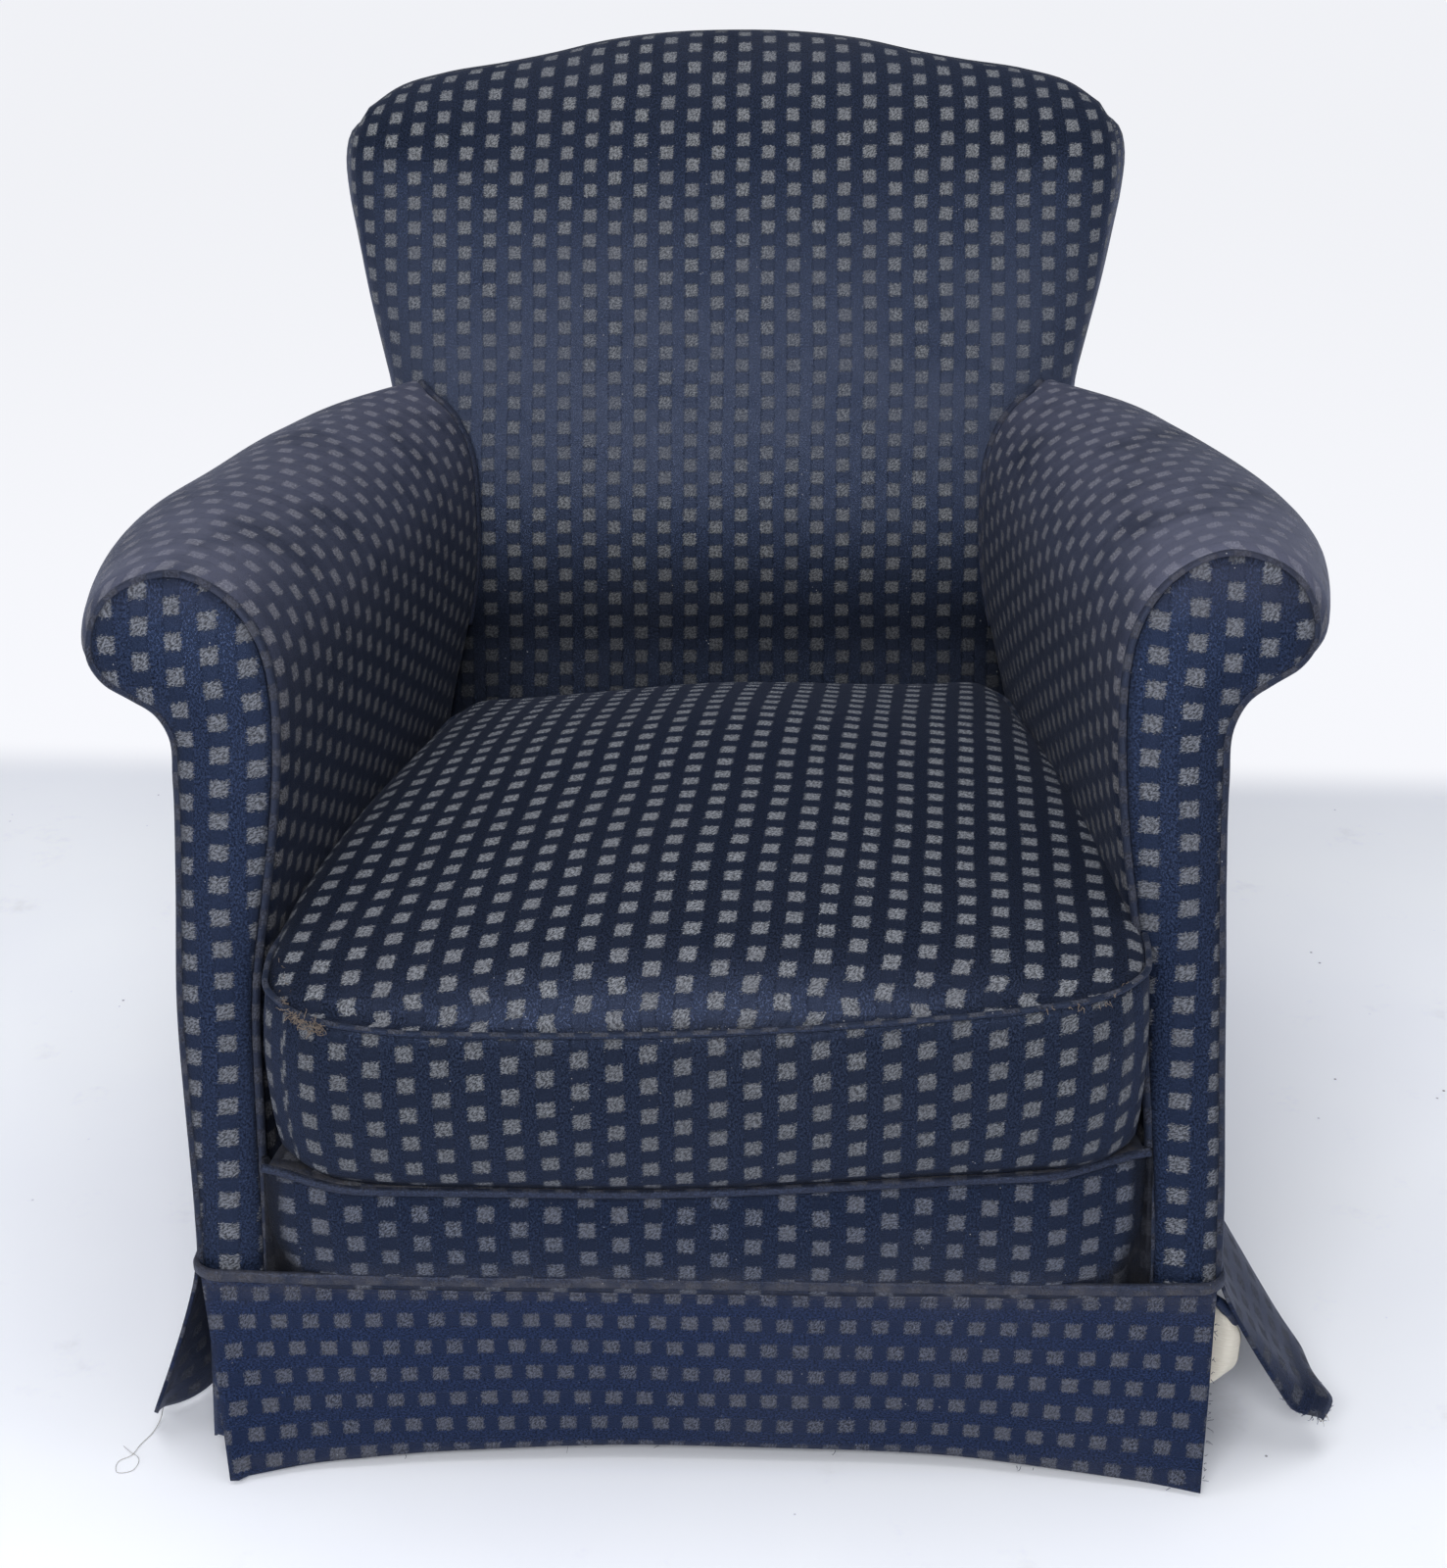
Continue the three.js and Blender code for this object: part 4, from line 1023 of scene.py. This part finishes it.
def read(xs, ys, grid, x, y):
    i = np.clip((x - xs[0]) / (xs[1] - xs[0]), 0, len(xs) - 1.001)
    j = np.clip((y - ys[0]) / (ys[1] - ys[0]), 0, len(ys) - 1.001)
    a, b = i.astype(int), j.astype(int)
    s, t = i - a, j - b
    low = grid[a, b] * (1 - s) + grid[a + 1, b] * s
    high = grid[a, b + 1] * (1 - s) + grid[a + 1, b + 1] * s
    return low * (1 - t) + high * t


def platform_front(x):
    """The platform's front edge swings back towards both arms."""
    return -9 + 14 * ramp(-x, 222, 292) + 28 * ramp(x, 205, 292)


def make_border():
    half = np.linspace(-1, 1, 91)
    h = np.concatenate([np.linspace(0, 0.9, 22), [0.94, 0.97, 1.0]])
    a, b = np.meshgrid(half, h, indexing="ij")
    width = 263 + 13 * ramp(b, 0.0, 0.55)
    x = a * width
    top = platform_top(x) - 4
    z = 143 + (top - 143) * b
    full = 6 * (1 - np.abs(2 * b - 1) ** 2.2) * (1 - np.abs(a) ** 14)
    y = (platform_front(x) + 6) * b ** 0.7 - 3 * (1 - b ** 0.7) - full + 0.8 * waves(x, z, 120, 51)
    y = np.minimum(y, front_plane(z) + 6) + 5 * ramp(np.abs(a), 0.965, 1.0)
    points = np.stack([x, y, z], axis=-1)
    cloth = np.stack([x, lengths(points, 1)], axis=-1)
    # painted shade along the top seam and at both ends of the border
    seam = np.exp(-((1 - b) / 0.035) ** 2)
    body = (points, cloth, {"dust": 0.10 * (1 - ramp(z, 152, 170)),
            "shade": 0.8 * np.maximum(seam, ramp(np.abs(a), 0.955, 0.985))})
    # at both ends the cloth turns back into the gap beside the arm, painted near-black as shade, with a little
    # dust
    patches = [body]
    for end in (0, -1):
        sign = -1 if end == 0 else 1
        edge = points[end]
        q = np.linspace(0, 1, 9)[:, None]
        gx = edge[:, 0] * (1 - q) + sign * 284 * q
        gy = edge[:, 1] * (1 - q) + (front_plane(edge[:, 2]) + 1) * q + 3 * np.sin(math.pi * q)
        gz = np.broadcast_to(edge[:, 2], gx.shape)
        gap = np.stack([gx, gy, gz], axis=-1)
        marks = np.stack([gx, gz], axis=-1)
        dark = np.broadcast_to(0.75 * np.sin(math.pi * np.minimum(q, 0.5)), gx.shape)
        patches.append((gap, marks, {"shade": np.maximum(dark, 0.93), "dust": 0.05}))
    piece = build("seat_front_border", patches)
    thicken(piece, 0.004, 1)
    finish(piece, "navy_cloth", FRONT_CLOTH_SHADED, "front_border")
    xs = np.linspace(-280, 280, 220)
    path = np.stack([xs, platform_front(xs) + 1, platform_top(xs) - 1.5], axis=-1)
    make_piping("platform_piping", path, 2.9, 10, 0.3, "platform_welt")


def make_deck():
    """The cloth under the loose cushion."""
    a, b = np.meshgrid(np.linspace(-1, 1, 61), np.linspace(0, 1, 61), indexing="ij")
    y = -3 + 596 * b
    x = a * (276 - 0.088 * y)
    z = (platform_top(x) * (1 - ramp(b, 0.0, 0.2)) + 222 * ramp(b, 0.0, 0.2)
         - 1 - 5 * (1 - a ** 2) * ramp(b, 0.0, 0.4))
    y = y + (platform_front(x) + 9) * (1 - ramp(b, 0.0, 0.12))
    points = np.stack([x, y, z + 0.6 * waves(x, y, 160, 81) * ramp(b, 0.0, 0.1)], axis=-1)
    # painted shade: the cloth under the cushion is darkened all over; it is also dusty
    piece = build("seat_platform_cloth", [(points, np.stack([x, y], axis=-1), {"dust": 0.2, "shade": 0.45})])
    thicken(piece, 0.010, -1)
    finish(piece, slot_of("seat_deck"), FRONT_CLOTH_SHADED, "seat_deck")


# ---------------------------------------------------------------- skirt
FLAP_EDGES = {}


def make_skirt():
    # front panel: its corners swing forward, its middle hangs back and rides up
    a, b = np.meshgrid(np.linspace(-1, 1, 120), np.linspace(0, 1, 30), indexing="ij")
    corner = np.abs(a) ** 2.2
    x = a * (325 - 6 * b * ramp(np.abs(a), 0.6, 1.0)) + 4 * b
    y = -4 - (27 * corner - 5) * b ** 1.1 - 1.5 * waves(x, 100 * b, 220, 61) * b
    y = y - 1.6 * np.exp(-(((x + 310) / 3.5) ** 2)) * ramp(b, 0.05, 0.3) - 2.2 * b * ramp(-x, 304, 312)
    y = y - 1.5 * waves(x, 60 * b, 60, 62) * b * corner
    z = 148 - b * (140 - 1.0 * (1 - corner)) + 4 * b * (1 - corner) - 5 * b * corner
    points = np.stack([x, y, z], axis=-1)
    drop = lengths(points, 1)
    cloth = np.stack([-drop, x], axis=-1)
    dust = 0.22 * np.exp(-drop / 9) + 0.05 * np.exp(-(drop - 138) ** 2 / 60)
    piece = build("skirt_panel_front", [(points, cloth, {"dust": dust})])
    thicken(piece, COVER)
    finish(piece, "navy_cloth", SKIRT_CLOTH_SHADED, "skirt_front")
    for side, word, flare in ((-1, "left", (38, 12, 45, 8, 0)), (1, "right", (66, 14, 290, 10, 20))):
        edge, rest, reach, forward, widest = flare
        a, b = np.meshgrid(np.linspace(0, 1, 130) ** 1.15, np.linspace(0, 1, 30), indexing="ij")
        y = 2 + a * (DEPTH - 8)
        out = (rest + edge * np.exp(-(((y - widest) / np.where(y < widest, 46, reach)) ** 2))
               + 6 * np.sin(y / 46.0) * np.exp(-((y / 420) ** 2)))
        near = np.exp(-((y / 60) ** 2))
        x = (BASE_HALF - 1) * taper(y) + out * b ** (1.15 - 0.4 * ramp(y, 15, 140))
        z = SKIRT_SEAM - b * np.sqrt((141 + 5 * near) ** 2 - np.clip(out, 0, 120) ** 2)
        yy = (y + forward * near * b
              + (16 if side < 0 else 7) * np.clip((b - 0.8) / 0.2, 0, 1) ** 2.2 * np.exp(-((y / 26) ** 2)))
        x = x + (side > 0) * (9 * near * ramp(b, 0.82, 1.0) - 7 * np.exp(-(((y - 50) / 30) ** 2)) * b)
        z = z + (side > 0) * 7 * near * ramp(b, 0.80, 1.0)
        points = np.stack([side * x, yy, z], axis=-1)
        FLAP_EDGES[word] = points
        drop = lengths(points, 1)
        cloth = np.stack([-drop, y], axis=-1)
        # painted shade on the side flaps, strongest at their front corners
        piece = build(f"skirt_panel_{word}", [(points, cloth,
                {"dust": 0.15 * np.exp(-drop / 9), "shade": 0.40 * np.exp(-((y / 190) ** 2))})])
        thicken(piece, 0.0026, inside=(0, 350, 90))
        finish(piece, "navy_cloth", SKIRT_CLOTH_SHADED, f"skirt_{word}")
    a, b = np.meshgrid(np.linspace(-1, 1, 100), np.linspace(0, 1, 24), indexing="ij")
    x = a * (BASE_HALF - 3) * taper(DEPTH)
    y = DEPTH + 7 + (8 + 6 * a ** 2) * b + 1.5 * waves(x, 100 * b, 200, 66) * b
    z = SKIRT_SEAM - 140 * b
    points = np.stack([x, y, z], axis=-1)
    drop = lengths(points, 1)
    piece = build("skirt_panel_back", [(points, np.stack([-drop, x], axis=-1))])
    thicken(piece, COVER)
    finish(piece, "navy_cloth", SKIRT_CLOTH_SHADED, "skirt_back")
    # the strip that covers the join
    base = np.array([(0, -9), (200, -9), (300, -8.5), (320, -7), (328.5, 0), (330, 14), (327, 80)])
    side_line = [(330 * taper(y), y) for y in (160, 260, 360, 460, 560, 640)]
    rear = [(335 * taper(690), 690), (333 * taper(700) - 8, 711), (250, 713), (120, 713), (0, 713)]
    right = [tuple(p) for p in base] + side_line + rear
    loop = right + [(-x, y) for x, y in right[1:-1][::-1]]
    line = trace([(x, y, 0) for x, y in loop], 520, closed=True)
    level = 151 + 1.6 * waves(line[:, 0], line[:, 1], 260, 71)
    along = np.gradient(line[:, :2], axis=0)
    along /= np.linalg.norm(along, axis=1)[:, None]
    out = np.stack([along[:, 1], -along[:, 0]], axis=1)
    shape = [(-1.5, 4.6), (0.6, 4.9), (1.9, 3.6), (2.3, 1.5), (2.1, -0.8), (1.4, -2.8), (0.2, -3.9),
            (-1.5, -3.9), (-2.5, 0.0), (-1.5, 4.6)]
    rows = [np.stack([line[:, 0] + out[:, 0] * o, line[:, 1] + out[:, 1] * o, level + h], axis=-1)
            for o, h in shape]
    band = np.stack(rows, axis=1)
    far = np.concatenate([[0], np.cumsum(np.linalg.norm(np.diff(line, axis=0), axis=1))])
    cloth = np.stack(np.broadcast_arrays(lengths(band, 1), far[:, None]), axis=-1)
    piping = build("skirt_piping", [(band, cloth, {"wear_and_sheen": 0.35, "dust": 0.16})])
    finish(piping, "navy_piping", PIPING, "skirt_welt")


def make_underlays():
    """Cloth behind the open corners of the skirt."""
    for side, word in ((-1, "left"), (1, "right")):
        for end, where in ((0, "front"), (1, "rear")):
            a, b = np.meshgrid(np.linspace(0, 1, 40), np.linspace(0, 1, 24), indexing="ij")
            run = 154 * a
            across = np.minimum(run, 74)
            along = np.maximum(run - 80, 0)
            turn = ramp(run, 68, 86)
            out = 8 if (side, end) == (-1, 0) else 2
            base = 318 if end == 0 else 290
            x = base - 74 + across + 6 * turn + out * b * turn
            edge_y = 3 + along + 5 * turn * (1 - ramp(run, 80, 90))
            low = 135 - 9 * np.clip(1 - np.abs(run - 77) / 14, 0, 1) ** 2 * (side < 0)
            lift = (3 - 13 * ramp(run, 10, 77) * (1 - ramp(run, 84, 120))) * b
            y = edge_y + lift if end == 0 else DEPTH + 1 - edge_y + 2 * b
            z = SKIRT_SEAM - low * b
            points = np.stack([side * x, y, z], axis=-1)
            piece = build(f"skirt_underlay_{where}_{word}_cloth",
                    [(points, np.stack([-low * b, run], axis=-1))])
            thicken(piece, 0.0018, inside=(0, 350, 90))
            finish(piece, "navy_cloth", SKIRT_CLOTH_SHADED, f"skirt_underlay_{where}_{word}")


def make_calico():
    a, b = np.meshgrid(np.linspace(0, 1, 24), np.linspace(0, 1, 30), indexing="ij")
    width = 27 * (1 - 0.62 * (1 - ramp(b, -0.05, 0.5))) * (1 - 0.4 * (np.clip(b - 0.7, 0, 1) / 0.3) ** 3)
    x = 323 + a * width
    z = 124 - 66 * b
    y = 16 + 3 * np.sin(a * 5 + b * 2) + 5 * a
    points = np.stack([x, y, z], axis=-1)
    cloth = np.stack([a * 30, b * 66], axis=-1)
    piece = build("calico_end", [(points, cloth)])
    thicken(piece, 0.0008)
    finish(piece, "calico", CALICO, "calico_lining")
    # a rolled turning of the navy cloth lies over its top
    path = trace([(327, 6, 134), (333, 10, 126), (340, 15, 116), (345, 20, 104)], 30)
    points, cloth = tube(path, np.interp(np.linspace(0, 1, 30), [0, 0.5, 1], [3.0, 4.6, 2.4]), 10)
    roll = build("turned_edge", [(points, cloth)])
    close_holes(roll)
    finish(roll, "navy_cloth", SKIRT_CLOTH_SHADED)


# ---------------------------------------------------------------- loose threads and stitches
def strand(start, way, long, curl, count=9):
    """A short wandering thread."""
    points = [np.array(start, float)]
    way = np.array(way, float)
    way /= np.linalg.norm(way)
    for _ in range(count - 1):
        way = way + RANDOM.normal(0, curl, 3)
        way /= np.linalg.norm(way)
        points.append(points[-1] + way * long / (count - 1))
    return np.array(points)


def threads(name, paths, radius, slot, material):
    patches = []
    for path in paths:
        points, cloth = tube(path, radius * np.linspace(1, 0.6, len(path)), 4)
        patches.append((points, cloth))
    piece = build(name, patches, 0.001)
    close_holes(piece)
    return finish(piece, slot, material)


def make_threads():
    frayed = []
    for _ in range(110):
        x = RANDOM.uniform(-266, -228)
        y = -9 + 60 * max(0, (-x - 236) / 30) ** 2
        z = float(seam_height(x)) + RANDOM.uniform(-4, 3)
        frayed.append(strand((x, y - 2, z), (RANDOM.normal(-0.4, 0.6), -0.7, RANDOM.normal(0.1, 0.7)),
                RANDOM.uniform(4, 11), 0.5))
    for _ in range(24):
        x = RANDOM.uniform(200, 262)
        y = -10 + 60 * max(0, (x - 236) / 30) ** 2
        frayed.append(strand((x, y - 2, float(seam_height(x))),
                (RANDOM.normal(0.2, 0.6), -0.7, RANDOM.normal(0, 0.7)), RANDOM.uniform(2, 6), 0.5))
    threads("frayed_corner", frayed, 0.28, "navy_piping", THREAD_BROWN)
    hairs = []
    for _ in range(26):
        z = RANDOM.uniform(14, 140)
        hairs.append(strand((325 - 2 * (1 - z / 150), -6 - 24 * (1 - z / 148), z),
                (1, RANDOM.normal(0, 0.4), RANDOM.normal(0, 0.5)), RANDOM.uniform(2, 6), 0.3))
    for _ in range(9):
        x = RANDOM.uniform(-320, 320)
        hem = 2 - 32 * (abs(x) / 325) ** 2.2
        hairs.append(strand((x, hem, 10 - 5 * (x / 325) ** 2), (RANDOM.normal(0, 0.5), -0.3, -0.6),
                RANDOM.uniform(2, 5), 0.3))
    tip = FLAP_EDGES["right"]
    for _ in range(46):
        if RANDOM.uniform() < 0.5:
            start = tip[0, RANDOM.integers(22, 30)]
        else:
            start = tip[RANDOM.integers(0, 14), -1]
        hairs.append(strand(start, (0.6, -0.4, RANDOM.normal(-0.5, 0.4)), RANDOM.uniform(2, 7), 0.5))
    threads("hem_hairs", hairs, 0.22, "navy_cloth", THREAD_NAVY)
    pale = [strand(tip[RANDOM.integers(0, 4), -1], (0.5, -0.3, -0.6), RANDOM.uniform(4, 9), 0.45)
            for _ in range(5)]
    loop = trace([tuple(FLAP_EDGES["left"][4, -1]), (-378, 26, 4), (-380, 18, 1.5), (-386, 4, 0.8),
            (-389, -6, 0.8), (-396, -12, 0.8), (-394, -22, 0.7), (-384, -20, 0.7), (-383, -9, 0.9),
            (-391, -3, 1.4), (-397, 3, 0.8)], 60)
    pale.append(loop)
    threads("loose_thread", pale, 0.32, "navy_piping", THREAD_PALE)
    stitches = []
    for x in np.arange(-318, 319, 5.2):
        y = -10.1 + RANDOM.uniform(-0.1, 0.1)
        z = 141.6 + RANDOM.uniform(-0.5, 0.5)
        stitches.append(np.array([(x, y + 0.9, z), (x + 0.8, y, z), (x + 2.4, y, z + 0.2),
                (x + 3.2, y + 0.9, z)]))
    threads("skirt_stitches", stitches, 0.3, "navy_piping", THREAD_NAVY)


# ---------------------------------------------------------------- CAD pieces that show as they are
def dress_frame():
    looks = {"frame_wood": WOOD, "spring_steel": STEEL, "webbing": WEBBING, "navy_cloth": CLOTH,
            "navy_piping": PIPING, "calico": CALICO}
    slots = {part["node"]: part["material_slot"] for part in frame["record"]["subparts"]}
    for name, node in frame["nodes"].items():
        if slots.get(name) in looks:
            node.data.materials.clear()
            node.data.materials.append(looks[slots[name]])


# ---------------------------------------------------------------- camera, light and room
def aim(thing, location, target):
    thing.location = location
    thing.rotation_euler = (Vector(target) - Vector(location)).to_track_quat("-Z", "Y").to_euler()


def make_camera():
    data = bpy.data.cameras.new("camera")
    data.lens = 36 * 2100 / 1600
    data.sensor_width = 36
    camera = bpy.data.objects.new("camera", data)
    tilt, turn, roll = math.radians(24), math.radians(2.2), math.radians(-0.6)
    forward = Vector((-math.sin(turn) * math.cos(tilt), math.cos(turn) * math.cos(tilt), -math.sin(tilt)))
    right = Vector((math.cos(turn), math.sin(turn), 0))
    up = right.cross(forward)
    right, up = right * math.cos(roll) + up * math.sin(roll), up * math.cos(roll) - right * math.sin(roll)
    turned = Matrix((right, up, -forward)).transposed().to_4x4()
    camera.matrix_world = Matrix.Translation(Vector(world((56.5, -1075, 975)))) @ turned
    bpy.context.collection.objects.link(camera)
    bpy.context.scene.camera = camera


def area(name, location, target, size, power, size_y=None, mirrored=True):
    data = bpy.data.lights.new(name, "AREA")
    data.shape = "RECTANGLE"
    data.size = size
    data.size_y = size_y or size
    data.energy = power
    light = bpy.data.objects.new(name, data)
    light.visible_glossy = mirrored
    bpy.context.collection.objects.link(light)
    aim(light, location, target)


def make_room():
    scene = bpy.context.scene
    scene.view_settings.view_transform = "Standard"
    scene.world = bpy.data.worlds.new("studio")
    scene.world.use_nodes = True
    background = scene.world.node_tree.nodes["Background"]
    background.inputs[0].default_value = (0.93, 0.96, 1.0, 1)
    background.inputs[1].default_value = 0.20
    n = Nodes("studio_floor")
    where = n.place()
    cloudy = n.noise(where, 1.6, 4.0, 0.6)
    scuff = n.noise(where, 11.0, 5.0, 0.7)
    tone = n.mix(n.step(cloudy, 0.3, 0.7), (0.86, 0.88, 0.95, 1), (0.91, 0.93, 0.98, 1))
    tone = n.mix(n.step(scuff, 0.58, 0.76, 0.0, 0.22), tone, (0.48, 0.46, 0.45, 1))
    specks = n.node("ShaderNodeTexVoronoi", feature="F1")
    specks.inputs["Scale"].default_value = 55.0
    n.put(specks.inputs["Vector"], where)
    dot = n.step(specks.outputs["Distance"], 0.04, 0.09, 1.0, 0.0)
    rare = n.step(n.noise(where, 17.0, 1.0), 0.60, 0.66)
    tone = n.mix(n.mul(dot, rare), tone, (0.16, 0.14, 0.13, 1))
    n.shader.inputs["Roughness"].default_value = 0.75
    split = n.node("ShaderNodeSeparateXYZ")
    n.put(split.inputs[0], where)
    # under the chair the paper is painted dark: a painted shadow
    under = n.step(n.math("ABSOLUTE", split.outputs[0]), 0.29, 0.37, 0.8, 0.0)
    under = n.mul(under, n.step(n.math("ABSOLUTE", n.add(split.outputs[1], 0.03)), 0.30, 0.385, 1.0, 0.0))
    tone = n.mix(under, tone, (0.10, 0.105, 0.12, 1))
    # behind the chair the white paper sweeps up, and is lit more
    line = n.add(split.outputs[1], n.mul(split.outputs[0], 0.035))
    sweep = n.step(line, 0.70, 0.82)
    away = n.node("ShaderNodeVectorMath", operation="LENGTH")
    n.put(away.inputs[0], where)
    sweep = n.math("MAXIMUM", sweep, n.step(away.outputs["Value"], 1.5, 2.8, 0.0, 0.92))
    n.put(n.shader.inputs["Base Color"], n.mix(sweep, tone, (0.12, 0.12, 0.13, 1)))
    n.put(n.shader.inputs["Emission Color"], n.mix(sweep, (0.06, 0.065, 0.08, 1), (0.95, 0.96, 1.0, 1)))
    n.shader.inputs["Emission Strength"].default_value = 0.88
    mesh = bpy.data.meshes.new("floor")
    mesh.from_pydata([(-30, -30, 0), (30, -30, 0), (30, 30, 0), (-30, 30, 0)], [], [(0, 1, 2, 3)])
    floor = bpy.data.objects.new("floor", mesh)
    floor.data.materials.append(n.material)
    bpy.context.collection.objects.link(floor)
    # a pale backdrop all round, seen but shedding no light
    n = Nodes("studio_backdrop")
    n.shader.inputs["Base Color"].default_value = (0, 0, 0, 1)
    n.shader.inputs["Emission Color"].default_value = (0.91, 0.925, 0.96, 1)
    n.shader.inputs["Emission Strength"].default_value = 0.9
    shell = bmesh.new()
    bmesh.ops.create_uvsphere(shell, u_segments=48, v_segments=24, radius=29)
    mesh = bpy.data.meshes.new("backdrop")
    shell.to_mesh(mesh)
    shell.free()
    mesh.materials.append(n.material)
    backdrop = bpy.data.objects.new("backdrop", mesh)
    backdrop.visible_diffuse = False
    backdrop.visible_glossy = False
    backdrop.visible_shadow = False
    bpy.context.collection.objects.link(backdrop)
    area("key", (-0.25, -2.25, 1.80), (0, 0.1, 0.5), 1.7, 44, size_y=0.5)
    area("side_left", (-2.4, -1.0, 1.5), (0, 0, 0.4), 0.9, 9, size_y=1.2)
    area("side_right", (2.4, -0.9, 1.4), (0, 0, 0.4), 0.9, 7, size_y=1.2)
    area("top", (0, 0.1, 3.2), (0, 0, 0.3), 2.6, 55, mirrored=False)


make_camera()
make_room()
dress_frame()
back_edge = make_back()
make_outside_back(back_edge)
for hand in (-1, 1):
    arm_grid = make_arm(hand)
    make_arm_back_welt("right" if hand > 0 else "left", arm_grid)
make_cushion()
make_border()
make_deck()
make_skirt()
make_underlays()
make_calico()
make_threads()
